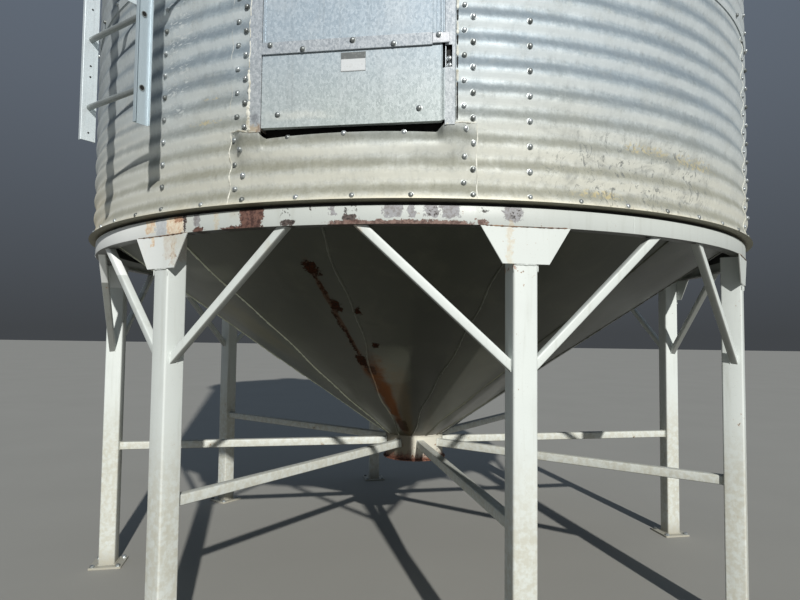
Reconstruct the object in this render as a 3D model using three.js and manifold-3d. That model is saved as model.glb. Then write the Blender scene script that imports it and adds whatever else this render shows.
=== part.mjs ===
// A hopper-bottom grain silo: a corrugated steel tank over a 34 degree hopper cone, on eight legs.
// Millimetres, +Z up. The origin is on the ground under the middle of the tank.
// Azimuths are in degrees from the front (-Y), growing towards +X. The door faces the front.

import * as THREE from 'three';
import { mergeVertices } from 'three/addons/utils/BufferGeometryUtils.js';
import Module from 'manifold-3d';

// Tank: sheets with a 4 inch corrugation, bolted in vertical columns 9 3/8 inches apart.
const BOLT_COLUMNS = 56;
const COLUMN_PITCH = 238.125;
const COLUMN_ANGLE = 360 / BOLT_COLUMNS;
const CREST_RADIUS = (BOLT_COLUMNS * COLUMN_PITCH) / (2 * Math.PI);
const CORRUGATION_PITCH = 101.6;
const CORRUGATION_DEPTH = 12.7;
const CORRUGATIONS_PER_TIER = 11;
const TIER_HEIGHT = CORRUGATION_PITCH * CORRUGATIONS_PER_TIER;
const TIER_COUNT = 4;
const SHEET = 5;
const VALLEY_RADIUS = CREST_RADIUS - CORRUGATION_DEPTH;
const TANK_BORE_RADIUS = VALLEY_RADIUS - SHEET;
const WALL_FOOT_FLARE = 6;

// Heights above the ground.
const RING_BOTTOM = 1966;
const RING_TOP = 2041;
const DRIP_BOTTOM = 2050;
const WALL_BOTTOM = 2062;
const FIRST_BOLT_ROW = 2078;
const WALL_TOP = FIRST_BOLT_ROW + TIER_COUNT * TIER_HEIGHT;

// The clearance that touching pieces keep.
const FIT = 0.3;

// Support ring, with a neck over its band that holds the drip edge and the cone.
const RING_RADIUS = 2108;
const RING_FLANGE = 55;
const RING_FLANGE_THICKNESS = 8;
const NECK_RADIUS = 2092;
const NECK_THICKNESS = 6;
const NECK_TOP = 2120;
const DRIP_REACH = 23;

// Hopper cone and its discharge collar.
const CONE_SLOPE = 0.682;
const CONE_SHEET = 5;
const COLLAR_RADIUS = 205;
const COLLAR_WALL = 6;
const FLANGE_BOTTOM = 655;
const FLANGE_THICKNESS = 8;
const FLANGE_WIDTH = 18;
const CONE_FOOT = 825;

// Legs, gussets, feet, braces and radial struts.
const LEG_COUNT = 8;
const LEG_ANGLE = 360 / LEG_COUNT;
const FIRST_LEG_AZIMUTH = 3 * COLUMN_ANGLE;
const LEG_SIZE = 101.6;
const LEG_RADIUS = 2047.5;
const GUSSET_THICKNESS = 6;
const GUSSET_TOP_WIDTH = 376;
const GUSSET_BOTTOM_WIDTH = 195;
const GUSSET_HEIGHT = 148;
const FOOT_SIZE = 200;
const FOOT_THICKNESS = 12;
const BRACE_SIZE = 38;
const BRACE_SPREAD = 18;
const BRACE_FOOT_HEIGHT = 1420;
const BRACE_FOOT_RADIUS = LEG_RADIUS + 8;
const BRACE_TOP_RADIUS = 2072;
const STRUT_SIZE = 50;
const STRUT_HEIGHT = 770;

// Access door in the front of the first tier.
const DOOR_WIDTH = 736;
const DOOR_FRAME_WIDTH = 832;
const DOOR_FRAME_BOTTOM = 2341;
const DOOR_FRAME_TOP = 3120;
const DOOR_FRAME_SILL = 15;
const DOOR_FRAME_HEAD = 40;
const DOOR_FRAME_FACE = CREST_RADIUS + 12;
const DOOR_FRAME_DEPTH = 76;
const DOOR_PANEL = 5;
const LOWER_PANEL_TOP = 2657;
const DOOR_RAIL_BOTTOM = 2660;
const DOOR_RAIL_TOP = 2712;
const DOOR_RAIL_THICKNESS = 8;
const SILL_HALF_ANGLE = 13.4;
const SILL_TOP = DOOR_FRAME_BOTTOM - FIT;
const SILL_THICKNESS = 4;

// Ladder on the wall above a front leg.
const LADDER_AZIMUTH = FIRST_LEG_AZIMUTH - LEG_ANGLE;
const LADDER_RADIUS = CREST_RADIUS + 221;
const LADDER_WIDTH = 404;
const LADDER_RAIL_DEPTH = 74;
const LADDER_RAIL_FLANGE = 22;
const LADDER_RAIL_WALL = 5;
const RUNG_SPACING = 304.8;
const RUNG_RADIUS = 11;
const RUNGS_PER_SECTION = 7;
const LADDER_SECTIONS = 2;
const LADDER_BOTTOM = 2370;
const LADDER_SECTION_HEIGHT = RUNGS_PER_SECTION * RUNG_SPACING;
const FIRST_RUNG = 148;
const BRACKET_SIZE = 30;
const BRACKET_THICKNESS = 5;

// Roof.
const ROOF_SLOPE = Math.tan(THREE.MathUtils.degToRad(30));
const ROOF_SHEET = 5;
const EAVE_OVERHANG = 120;
const ROOF_RIBS = 28;
const ROOF_RIB_WIDTH = 30;
const ROOF_RIB_HEIGHT = 25;
const CAP_RADIUS = 330;
const CAP_HEIGHT = 140;
const FILL_RADIUS = 260;

const wasm = await Module();
wasm.setup();

const galvanised = new THREE.MeshStandardMaterial({ color: 0xa9b1b3, roughness: 0.45, metalness: 0.8 });
const frameGalvanised = new THREE.MeshStandardMaterial({ color: 0xa3a8aa, roughness: 0.5, metalness: 0.8 });
const whitePaint = new THREE.MeshStandardMaterial({ color: 0xcfd3cf, roughness: 0.6, metalness: 0.1 });
const conePaint = new THREE.MeshStandardMaterial({ color: 0x5c5e50, roughness: 0.45, metalness: 0.2 });

const silo = new THREE.Group();

function addPiece(name, geometry, material) {
  const mesh = new THREE.Mesh(geometry, material);
  mesh.name = name;
  silo.add(mesh);
  return mesh;
}

// A point at a radius, an azimuth in degrees and a height.
function polar(radius, azimuth, z = 0) {
  const angle = THREE.MathUtils.degToRad(azimuth);
  return new THREE.Vector3(radius * Math.sin(angle), -radius * Math.cos(angle), z);
}

// A ring turned about the tank's axis from a closed outline of [radius, height] points.
// The outline goes up its outer side and comes down its inner side.
function turned(outline) {
  const points = [...outline, outline[0]].map(([radius, z]) => new THREE.Vector2(radius, z));
  const geometry = new THREE.LatheGeometry(points, BOLT_COLUMNS);
  geometry.rotateX(Math.PI / 2);
  return geometry;
}

// A box given by its lowest and highest corners.
function boxBetween(low, high) {
  const size = high.map((value, axis) => value - low[axis]);
  const geometry = new THREE.BoxGeometry(...size);
  geometry.translate(...high.map((value, axis) => (value + low[axis]) / 2));
  return geometry;
}

// A flat outline of [x, z] points, given a thickness from y = back towards -Y.
function plate(outline, back, thickness) {
  const shape = new THREE.Shape(outline.map(([x, z]) => new THREE.Vector2(x, z)));
  const geometry = new THREE.ExtrudeGeometry(shape, { depth: thickness, bevelEnabled: false });
  geometry.rotateX(Math.PI / 2);
  geometry.translate(0, back, 0);
  return geometry;
}

function toSolid(geometry) {
  const bare = geometry.clone();
  bare.deleteAttribute('normal');
  bare.deleteAttribute('uv');
  const merged = mergeVertices(bare, 1e-4);
  return new wasm.Manifold(new wasm.Mesh({
    numProp: 3,
    vertProperties: new Float32Array(merged.attributes.position.array),
    triVerts: new Uint32Array(merged.index.array),
  }));
}

function toGeometry(solid) {
  const mesh = solid.getMesh();
  const geometry = new THREE.BufferGeometry();
  geometry.setAttribute('position', new THREE.BufferAttribute(new Float32Array(mesh.vertProperties), 3));
  geometry.setIndex(new THREE.BufferAttribute(new Uint32Array(mesh.triVerts), 1));
  geometry.computeVertexNormals();
  return geometry;
}

function joined(geometries) {
  const solids = geometries.map(toSolid);
  return toGeometry(solids.reduce((sum, solid) => sum.add(solid)));
}

// A straight bar of a square section about the line from start to end, whose two ends are cut
// along planes: the start by a plane through start, the end by a plane through end.
function mitredBar(start, startNormal, end, endNormal, size) {
  const along = end.clone().sub(start).normalize();
  const across = new THREE.Vector3(along.y, -along.x, 0).normalize();
  const upward = across.clone().cross(along).normalize();
  const corners = [[-1, -1], [1, -1], [1, 1], [-1, 1]];
  const vertices = [];
  for (const [point, normal] of [[start, startNormal], [end, endNormal]]) {
    for (const [side, rise] of corners) {
      const corner = point.clone();
      corner.addScaledVector(across, (side * size) / 2);
      corner.addScaledVector(upward, (rise * size) / 2);
      const slide = point.clone().sub(corner).dot(normal) / along.dot(normal);
      corner.addScaledVector(along, slide);
      vertices.push(...corner.toArray());
    }
  }
  const geometry = new THREE.BufferGeometry();
  geometry.setAttribute('position', new THREE.BufferAttribute(new Float32Array(vertices), 3));
  geometry.setIndex([
    0, 1, 2, 0, 2, 3,
    4, 6, 5, 4, 7, 6,
    0, 5, 1, 0, 4, 5,
    1, 6, 2, 1, 5, 6,
    2, 7, 3, 2, 6, 7,
    3, 4, 0, 3, 7, 4,
  ]);
  geometry.computeVertexNormals();
  return geometry;
}

// The outer side of corrugated sheet: crest and valley lines from one height to another.
function corrugatedSide(bottom, top, crest, valley) {
  const side = [];
  const half = CORRUGATION_PITCH / 2;
  const steps = Math.round((top - bottom) / half);
  for (let step = 0; step <= steps; step += 1) {
    side.push([step % 2 === 0 ? crest : valley, bottom + step * half]);
  }
  return side;
}

function wallTier(number) {
  const bottom = FIRST_BOLT_ROW + (number - 1) * TIER_HEIGHT;
  const outer = corrugatedSide(bottom, bottom + TIER_HEIGHT, CREST_RADIUS, VALLEY_RADIUS);
  outer[outer.length - 1][1] -= FIT / 2;
  if (number === 1) {
    outer.unshift([CREST_RADIUS + WALL_FOOT_FLARE, WALL_BOTTOM]);
  } else {
    outer[0][1] += FIT / 2;
  }
  const lowest = outer[0][1];
  const highest = outer[outer.length - 1][1];
  return turned([...outer, [TANK_BORE_RADIUS, highest], [TANK_BORE_RADIUS, lowest]]);
}

// A block through the front of the wall, as wide as the door frame plus a clearance on each side.
function doorBay(clearance, bottom, top) {
  const half = DOOR_FRAME_WIDTH / 2 + clearance;
  return toSolid(boxBetween([-half, -CREST_RADIUS - 100, bottom], [half, -CREST_RADIUS + 200, top]));
}

// The first tier stops on both sides of the door bay.
function doorwayTier() {
  const bay = doorBay(FIT, RING_BOTTOM, WALL_TOP);
  return toGeometry(toSolid(wallTier(1)).subtract(bay));
}

// The piece of the first tier over the door.
function doorHeadSheet() {
  const bay = doorBay(0, DOOR_FRAME_TOP + FIT, WALL_TOP);
  return toGeometry(toSolid(wallTier(1)).intersect(bay));
}

function supportRing() {
  const inner = NECK_RADIUS - NECK_THICKNESS;
  return turned([
    [RING_RADIUS - RING_FLANGE, RING_BOTTOM],
    [RING_RADIUS, RING_BOTTOM],
    [RING_RADIUS, RING_TOP],
    [NECK_RADIUS, RING_TOP],
    [NECK_RADIUS, NECK_TOP],
    [inner, NECK_TOP],
    [inner, RING_BOTTOM + RING_FLANGE_THICKNESS],
    [RING_RADIUS - RING_FLANGE, RING_BOTTOM + RING_FLANGE_THICKNESS],
  ]);
}

function dripEdge() {
  const inner = NECK_RADIUS + FIT;
  const lip = CREST_RADIUS + DRIP_REACH;
  return turned([
    [inner, DRIP_BOTTOM],
    [lip - 4, DRIP_BOTTOM],
    [lip, DRIP_BOTTOM + 2],
    [CREST_RADIUS + 8, WALL_BOTTOM - FIT],
    [inner, WALL_BOTTOM - FIT],
  ]);
}

function hopperCone() {
  const top = NECK_RADIUS - NECK_THICKNESS - FIT;
  const foot = COLLAR_RADIUS + FIT;
  const topHeight = CONE_FOOT + (top - foot) * CONE_SLOPE;
  const rise = CONE_SHEET * Math.hypot(1, CONE_SLOPE);
  return turned([
    [foot, CONE_FOOT],
    [top, topHeight],
    [top, topHeight + rise],
    [foot, CONE_FOOT + rise],
  ]);
}

// A plain tube about the tank's axis.
function tube(outer, inner, bottom, top) {
  return turned([
    [outer, bottom],
    [outer, top],
    [inner, top],
    [inner, bottom],
  ]);
}

function dischargeCollar() {
  const bottom = FLANGE_BOTTOM + FLANGE_THICKNESS + FIT;
  return tube(COLLAR_RADIUS, COLLAR_RADIUS - COLLAR_WALL, bottom, CONE_FOOT + 10);
}

function dischargeFlange() {
  const top = FLANGE_BOTTOM + FLANGE_THICKNESS;
  return tube(COLLAR_RADIUS + FLANGE_WIDTH, COLLAR_RADIUS - COLLAR_WALL, FLANGE_BOTTOM, top);
}

// One leg at the front: a square tube with its foot plate, and the gusset on its outer face.
function leg() {
  const half = LEG_SIZE / 2;
  const top = RING_BOTTOM - FIT;
  const face = LEG_RADIUS + half;
  const post = boxBetween([-half, -face, FOOT_THICKNESS / 2], [half, -face + LEG_SIZE, top]);
  const foot = boxBetween(
    [-FOOT_SIZE / 2, -LEG_RADIUS - FOOT_SIZE / 2, 0],
    [FOOT_SIZE / 2, -LEG_RADIUS + FOOT_SIZE / 2, FOOT_THICKNESS],
  );
  const gusset = plate(
    [
      [-GUSSET_BOTTOM_WIDTH / 2, top - GUSSET_HEIGHT],
      [GUSSET_BOTTOM_WIDTH / 2, top - GUSSET_HEIGHT],
      [GUSSET_TOP_WIDTH / 2, top],
      [-GUSSET_TOP_WIDTH / 2, top],
    ],
    -face + 1,
    GUSSET_THICKNESS + 1,
  );
  return joined([post, foot, gusset]);
}

// One brace from a leg at the front up to the ring, on the given side: -1 or 1.
function brace(side) {
  const start = new THREE.Vector3(side * (LEG_SIZE / 2 + FIT), -BRACE_FOOT_RADIUS, BRACE_FOOT_HEIGHT);
  const end = polar(BRACE_TOP_RADIUS, side * BRACE_SPREAD, RING_BOTTOM - FIT);
  return mitredBar(start, new THREE.Vector3(1, 0, 0), end, new THREE.Vector3(0, 0, 1), BRACE_SIZE);
}

function radialStrut() {
  const half = STRUT_SIZE / 2;
  const inner = COLLAR_RADIUS + FIT;
  const outer = LEG_RADIUS - LEG_SIZE / 2 - FIT;
  return boxBetween([-half, -outer, STRUT_HEIGHT - half], [half, -inner, STRUT_HEIGHT + half]);
}

// The sheet under the door: it closes the door bay and laps over the wall on both sides of it.
function sillSheet() {
  const lap = CREST_RADIUS + WALL_FOOT_FLARE + FIT;
  const face = lap + SILL_THICKNESS;
  const bay = doorBay(0, WALL_BOTTOM, SILL_TOP);
  const infill = toSolid(tube(face, TANK_BORE_RADIUS, WALL_BOTTOM, SILL_TOP)).intersect(bay);
  const edge = polar(CREST_RADIUS * 1.5, SILL_HALF_ANGLE);
  const wedge = new THREE.ExtrudeGeometry(
    new THREE.Shape([
      new THREE.Vector2(0, 0),
      new THREE.Vector2(-edge.x, edge.y),
      new THREE.Vector2(edge.x, edge.y),
    ]),
    { depth: TIER_HEIGHT, bevelEnabled: false },
  );
  wedge.translate(0, 0, RING_BOTTOM);
  const lapped = toSolid(tube(face, lap, WALL_BOTTOM, SILL_TOP)).intersect(toSolid(wedge));
  return toGeometry(infill.add(lapped));
}

function doorFrame() {
  const half = DOOR_FRAME_WIDTH / 2;
  const back = -DOOR_FRAME_FACE + DOOR_FRAME_DEPTH;
  const block = boxBetween([-half, -DOOR_FRAME_FACE, DOOR_FRAME_BOTTOM], [half, back, DOOR_FRAME_TOP]);
  const hole = boxBetween(
    [-DOOR_WIDTH / 2, -DOOR_FRAME_FACE - 50, DOOR_FRAME_BOTTOM + DOOR_FRAME_SILL],
    [DOOR_WIDTH / 2, back + 50, DOOR_FRAME_TOP - DOOR_FRAME_HEAD],
  );
  return toGeometry(toSolid(block).subtract(toSolid(hole)));
}

// A door board that closes the frame's opening between two heights, flush with its front.
function doorBoard(bottom, top, thickness, proud) {
  const half = DOOR_WIDTH / 2 - FIT;
  const front = -DOOR_FRAME_FACE - proud;
  return boxBetween([-half, front, bottom], [half, front + thickness, top]);
}

// A channel of one ladder section, its flanges pointing away from the rungs. Heights in a section
// are measured from its lower end.
function ladderRail(side) {
  const half = LADDER_RAIL_DEPTH / 2;
  const web = side * (LADDER_WIDTH / 2 - LADDER_RAIL_WALL);
  const section = [
    [0, -half],
    [LADDER_RAIL_FLANGE, -half],
    [LADDER_RAIL_FLANGE, -half + LADDER_RAIL_WALL],
    [LADDER_RAIL_WALL, -half + LADDER_RAIL_WALL],
    [LADDER_RAIL_WALL, half - LADDER_RAIL_WALL],
    [LADDER_RAIL_FLANGE, half - LADDER_RAIL_WALL],
    [LADDER_RAIL_FLANGE, half],
    [0, half],
  ].map(([x, y]) => new THREE.Vector2(web + side * x, -LADDER_RADIUS + y));
  return new THREE.ExtrudeGeometry(new THREE.Shape(section), {
    depth: LADDER_SECTION_HEIGHT - FIT,
    bevelEnabled: false,
  });
}

function ladderRung(z) {
  const rung = new THREE.CylinderGeometry(RUNG_RADIUS, RUNG_RADIUS, LADDER_WIDTH - 4, 8);
  rung.rotateZ(Math.PI / 2);
  rung.translate(0, -LADDER_RADIUS, z);
  return rung;
}

// A flat bar from a ladder rail back to the wall's crest, whose facets run from column to column.
function ladderBracket(side, z) {
  const near = LADDER_WIDTH / 2 - BRACKET_THICKNESS;
  const far = LADDER_WIDTH / 2;
  const facetFall = Math.tan(THREE.MathUtils.degToRad(COLUMN_ANGLE / 2));
  const wall = -(CREST_RADIUS - near * facetFall + FIT);
  const low = [Math.min(side * near, side * far), -LADDER_RADIUS, z - BRACKET_SIZE / 2];
  const high = [Math.max(side * near, side * far), wall, z + BRACKET_SIZE / 2];
  return boxBetween(low, high);
}

// A section of the ladder. Its brackets meet the wall on crests, a corrugation under the tier seams.
function ladderSection(number) {
  const foot = LADDER_BOTTOM + (number - 1) * LADDER_SECTION_HEIGHT;
  const pieces = [ladderRail(-1), ladderRail(1)];
  for (let rung = 0; rung < RUNGS_PER_SECTION; rung += 1) {
    pieces.push(ladderRung(FIRST_RUNG + rung * RUNG_SPACING));
  }
  for (let tier = 1; tier <= TIER_COUNT; tier += 1) {
    const z = FIRST_BOLT_ROW + tier * TIER_HEIGHT - CORRUGATION_PITCH - foot;
    if (z > 0 && z < LADDER_SECTION_HEIGHT) {
      pieces.push(ladderBracket(-1, z), ladderBracket(1, z));
    }
  }
  return joined(pieces);
}

function roofHeight(radius) {
  return WALL_TOP + FIT + (CREST_RADIUS - radius) * ROOF_SLOPE;
}

// Roof sheets: a cone shell that rests on the wall's top edge, with a raised rib at every seam.
function roofSheets() {
  const eave = CREST_RADIUS + EAVE_OVERHANG;
  const rise = ROOF_SHEET * Math.hypot(1, ROOF_SLOPE);
  const shell = turned([
    [FILL_RADIUS, roofHeight(FILL_RADIUS)],
    [eave, roofHeight(eave)],
    [eave, roofHeight(eave) + rise],
    [FILL_RADIUS, roofHeight(FILL_RADIUS) + rise],
  ]);
  const pieces = [shell];
  const ribEnd = eave - 20;
  for (let rib = 0; rib < ROOF_RIBS; rib += 1) {
    const side = new THREE.Shape([
      new THREE.Vector2(-ribEnd, roofHeight(ribEnd) + rise / 2),
      new THREE.Vector2(-FILL_RADIUS - 5, roofHeight(FILL_RADIUS + 5) + rise / 2),
      new THREE.Vector2(-FILL_RADIUS - 5, roofHeight(FILL_RADIUS + 5) + rise + ROOF_RIB_HEIGHT),
      new THREE.Vector2(-ribEnd, roofHeight(ribEnd) + rise + ROOF_RIB_HEIGHT),
    ]);
    const geometry = new THREE.ExtrudeGeometry(side, { depth: ROOF_RIB_WIDTH, bevelEnabled: false });
    geometry.translate(0, 0, -ROOF_RIB_WIDTH / 2);
    geometry.rotateX(Math.PI / 2);
    geometry.rotateZ(Math.PI / 2);
    geometry.rotateZ(THREE.MathUtils.degToRad((rib * 360) / ROOF_RIBS));
    pieces.push(geometry);
  }
  return joined(pieces);
}

function roofCap() {
  const base = roofHeight(FILL_RADIUS) + ROOF_SHEET * Math.hypot(1, ROOF_SLOPE) + FIT;
  const points = [
    [0, base],
    [FILL_RADIUS, base],
    [FILL_RADIUS, base + CAP_HEIGHT - 40],
    [CAP_RADIUS, base + CAP_HEIGHT - 40],
    [CAP_RADIUS, base + CAP_HEIGHT],
    [0, base + CAP_HEIGHT + 70],
  ].map(([radius, z]) => new THREE.Vector2(radius, z));
  const geometry = new THREE.LatheGeometry(points, 32);
  geometry.rotateX(Math.PI / 2);
  return geometry;
}

// The tank.
addPiece('wall_tier_1', doorwayTier(), galvanised);
for (let number = 2; number <= TIER_COUNT; number += 1) {
  addPiece(`wall_tier_${number}`, wallTier(number), galvanised);
}
addPiece('door_head_sheet', doorHeadSheet(), galvanised);
addPiece('sill_sheet', sillSheet(), galvanised);
addPiece('drip_edge', dripEdge(), galvanised);
addPiece('roof_sheets', roofSheets(), galvanised);
addPiece('roof_cap', roofCap(), galvanised);

// The door.
addPiece('door_frame', doorFrame(), frameGalvanised);
addPiece(
  'door_lower_board',
  doorBoard(DOOR_FRAME_BOTTOM + DOOR_FRAME_SILL + FIT, LOWER_PANEL_TOP, DOOR_PANEL, 3),
  frameGalvanised,
);
addPiece('door_rail', doorBoard(DOOR_RAIL_BOTTOM, DOOR_RAIL_TOP, DOOR_RAIL_THICKNESS, 6), frameGalvanised);
addPiece(
  'door_upper_board',
  doorBoard(DOOR_RAIL_TOP + FIT, DOOR_FRAME_TOP - DOOR_FRAME_HEAD - FIT, DOOR_PANEL, 3),
  frameGalvanised,
);

// The ladder.
for (let number = 1; number <= LADDER_SECTIONS; number += 1) {
  const section = addPiece(`ladder_section_${number}`, ladderSection(number), frameGalvanised);
  section.position.z = LADDER_BOTTOM + (number - 1) * LADDER_SECTION_HEIGHT;
  section.rotation.z = THREE.MathUtils.degToRad(LADDER_AZIMUTH);
}

// The hopper.
addPiece('support_ring', supportRing(), whitePaint);
addPiece('hopper_cone', hopperCone(), conePaint);
addPiece('discharge_collar', dischargeCollar(), conePaint);
addPiece('discharge_flange', dischargeFlange(), conePaint);

// The legs, each with its two braces and its strut to the collar.
for (let number = 1; number <= LEG_COUNT; number += 1) {
  const azimuth = FIRST_LEG_AZIMUTH + (number - 1) * LEG_ANGLE;
  const turn = THREE.MathUtils.degToRad(azimuth);
  const pieces = [
    addPiece(`leg_${number}`, leg(), whitePaint),
    addPiece(`brace_${number}_left`, brace(-1), whitePaint),
    addPiece(`brace_${number}_right`, brace(1), whitePaint),
    addPiece(`radial_strut_${number}`, radialStrut(), whitePaint),
  ];
  for (const piece of pieces) {
    piece.rotation.z = turn;
  }
}

export default silo;
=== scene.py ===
import math

import bmesh
import bpy
import numpy as np
from mathutils import Matrix, Vector


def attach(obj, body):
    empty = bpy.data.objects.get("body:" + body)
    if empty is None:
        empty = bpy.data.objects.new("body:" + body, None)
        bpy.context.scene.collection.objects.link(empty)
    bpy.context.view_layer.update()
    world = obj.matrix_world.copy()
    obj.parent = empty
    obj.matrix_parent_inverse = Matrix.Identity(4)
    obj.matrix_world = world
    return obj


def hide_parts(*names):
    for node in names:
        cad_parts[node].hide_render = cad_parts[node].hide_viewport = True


# Looks of a hopper-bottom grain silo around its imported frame.
# Sizes are millimetres in the row frame, and metres in the finishes.
# Azimuths are degrees from the front (-Y), growing towards +X.

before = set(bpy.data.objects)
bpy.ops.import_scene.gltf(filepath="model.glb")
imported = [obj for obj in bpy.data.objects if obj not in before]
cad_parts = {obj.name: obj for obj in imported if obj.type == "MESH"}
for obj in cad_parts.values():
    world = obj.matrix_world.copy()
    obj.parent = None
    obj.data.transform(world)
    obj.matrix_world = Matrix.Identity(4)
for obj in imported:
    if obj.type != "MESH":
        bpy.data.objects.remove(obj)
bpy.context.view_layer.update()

MM = 0.001
SIDES = (-1, 1)

# Tank.
COLUMNS = 56
COLUMN_ANGLE = 360 / COLUMNS
CREST = 2122.3
DEPTH = 12.7
PITCH = 101.6
TIER = 11 * PITCH
TIERS = 4
FIRST_ROW = 2078
WALL_FOOT = 2062
WALL_TOP = FIRST_ROW + TIERS * TIER
FOOT_FLARE = 9
SHEET = 1.8
SIDE_LAP = 2.5
UPPER_LAP = 4.6
LAP_ANGLE = 1.3
SHEET_COLUMNS = 8
STEP_HEIGHT = PITCH / 10
STEPS_PER_COLUMN = 4

# Azimuths of a seam's two bolt rows beside its middle, as a rule and at the seam left of the door.
SEAM_BOLTS = (-0.52, 0.4)
LEFT_SEAM_BOLTS = (-0.6, 0.68)
# How far the bolts over the ladder and over the first leg stand beside their columns.
LADDER_SIDE_SHIFT = 0.8
RIGHT_SIDE_SHIFT = 0.2

# Ring, cone and collar.
RING_RADIUS = 2108
RING_BOTTOM = 1966
RING_TOP = 2041
NECK_RADIUS = 2092
NECK_TOP = 2120
LIP_BOTTOM = 2055
LIP_RADIUS = CREST + 23
CONE_SLOPE = 0.682
CONE_FOOT = 825
CONE_FOOT_RADIUS = 205.3
CONE_TOP_RADIUS = 2085.7
CONE_SHEET = 5
GORES = 14
GORE_ANGLE = 360 / GORES
FIRST_GORE_SEAM = -5
SEAM_DRIFT = 65
COLLAR_RADIUS = 205
COLLAR_BOTTOM = 664
COLLAR_TOP = 834
COLLAR_STEPS = 96
FLANGE_BOTTOM = 655
FLANGE_TOP = 663
FLANGE_RADIUS = 223

# Legs, braces and struts.
LEGS = 8
FIRST_LEG = 3 * COLUMN_ANGLE
LEG_ANGLE = 360 / LEGS
LEG_SIZE = 101.6
LEG_RADIUS = 2047.5
LEG_FACE = LEG_RADIUS + LEG_SIZE / 2
LEG_TOP = RING_BOTTOM - 0.3
GUSSET_TOP = 376
GUSSET_FOOT = 195
GUSSET_LOW = LEG_TOP - 148
GUSSET_SHEET = 6
FOOT_SIZE = 200
FOOT_SHEET = 12
FOOT_BOLT_REACH = 78
BRACE_SIZE = 38
BRACE_SPREAD = 18
BRACE_FOOT = 1420
BRACE_TOP_RADIUS = 2072
STRUT_SIZE = 50
STRUT_HEIGHT = 770

# Door.
DOOR_FACE = CREST + 12
DOOR_SHEET = 3
FRAME_LEFT = -411
FRAME_RIGHT = 421
OPENING_LEFT = -357
OPENING_RIGHT = 382
FRAME_BOTTOM = 2341
FRAME_TOP = 3120
PANEL_LEFT = -352.5
PANEL_RIGHT = 371
PANEL_BOTTOM = 2352.5
PANEL_RETURN = 21
PANEL_TOP = FRAME_TOP - 42
RAIL_BOTTOM = 2649
RAIL_TOP = 2698
RAIL_END = 334
PANEL_FACE = DOOR_FACE + 3
RAIL_FACE = PANEL_FACE + 9
LATCH_BOTTOM = 2562
LATCH_TOP = 2649
LATCH_EDGE = 409
STRIP_FOOT = FRAME_BOTTOM - 3
SILL_TOP = 2326
SILL_BEND = 2300
SILL_REACH = 62
SILL_LEFT_ANGLE = -14.1
SILL_RIGHT_ANGLE = 13.7
SILL_BOLT_SHIFT = -0.45

# Ladder.
LADDER_AZIMUTH = FIRST_LEG - LEG_ANGLE
LADDER_Y = -CREST - 221
LADDER_BOTTOM = 2370
RUNG_SPACING = 304.8
FIRST_RUNG = 148
RUNGS = 7
SECTION_HEIGHT = RUNGS * RUNG_SPACING
RAIL_INSIDE = 197
RAIL_DEPTH = 66
RAIL_FLANGE = 17
RAIL_SHEET = 3.2
RUNG_REACH = RAIL_INSIDE + 6
BRACKET_FOOT = -math.sqrt(CREST**2 - RAIL_INSIDE**2)
BRACKET_HEIGHTS = [FIRST_ROW + tier * TIER - PITCH for tier in range(1, TIERS + 1)]

# Roof.
ROOF_ANGLE = math.radians(30)
ROOF_SLOPE = math.tan(ROOF_ANGLE)
ROOF_THICKNESS = 5 * math.hypot(1, ROOF_SLOPE)
EAVE_RADIUS = CREST + 120
ROOF_RIBS = 28
RIB_ANGLE = 360 / ROOF_RIBS
RIB_HALF = 17
RIB_RISE = 25
FILL_RADIUS = 260
CAP_RADIUS = 330


def smooth(value):
    """0 to 1 with soft ends."""
    t = np.clip(value, 0, 1)
    return t * t * (3 - 2 * t)


def unit(vectors):
    return vectors / np.linalg.norm(vectors, axis=-1, keepdims=True)


def xyz(x, y, z):
    """Points from coordinates, which may be numbers or arrays of one shape."""
    return np.stack(np.broadcast_arrays(x, y, z), -1)


def polar(radius, azimuth, z):
    angle = np.radians(azimuth)
    return xyz(radius * np.sin(angle), -radius * np.cos(angle), z)


def turned(points, azimuth):
    """Points of something at the front, carried round to an azimuth."""
    angle = math.radians(azimuth)
    c, s = math.cos(angle), math.sin(angle)
    return np.asarray(points, float) @ [[c, s, 0], [-s, c, 0], [0, 0, 1]]


def carried(bodies, azimuth):
    return [(turned(points, azimuth), faces) for points, faces in bodies]


def loft(sections, ring=False):
    """Closed outlines joined in a row into one body, capped, or joined round into a ring."""
    sections = np.asarray(sections, float)
    count, around = sections.shape[:2]
    row = np.arange(count if ring else count - 1)[:, None]
    here, above = row * around, (row + 1) % count * around
    corner = np.arange(around)
    beside = (corner + 1) % around
    faces = np.stack([here + corner, here + beside, above + beside, above + corner], -1)
    faces = faces.reshape(-1, 4).tolist()
    if not ring:
        faces.append(list(range(around))[::-1])
        faces.append([(count - 1) * around + index for index in range(around)])
    return sections.reshape(-1, 3), faces


def ring_body(outline, steps=COLUMNS * STEPS_PER_COLUMN):
    """A closed [radius, height] outline turned right round the tank's axis."""
    radius, z = np.transpose(outline)
    return loft(polar(radius, np.arange(steps)[:, None] * 360 / steps, z), ring=True)


def rounded(width, height, radius, steps=4):
    """A rounded rectangle about the origin."""
    angles = np.radians(90 * np.arange(4)[:, None] + np.linspace(0, 90, steps))
    middles = np.array([(1, 1), (-1, 1), (-1, -1), (1, -1)]) * (width / 2 - radius, height / 2 - radius)
    arcs = radius * np.stack([np.cos(angles), np.sin(angles)], -1)
    return (middles[:, None] + arcs).reshape(-1, 2)


def closed_square(size, radius, steps):
    """The coordinates of a rounded square whose last point is its first again."""
    loop = rounded(size, size, radius, steps)
    return np.concatenate([loop, loop[:1]]).T


def circle(radius, steps):
    angles = np.arange(steps) * 2 * math.pi / steps
    return np.stack([radius * np.cos(angles), radius * np.sin(angles)], -1)


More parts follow.
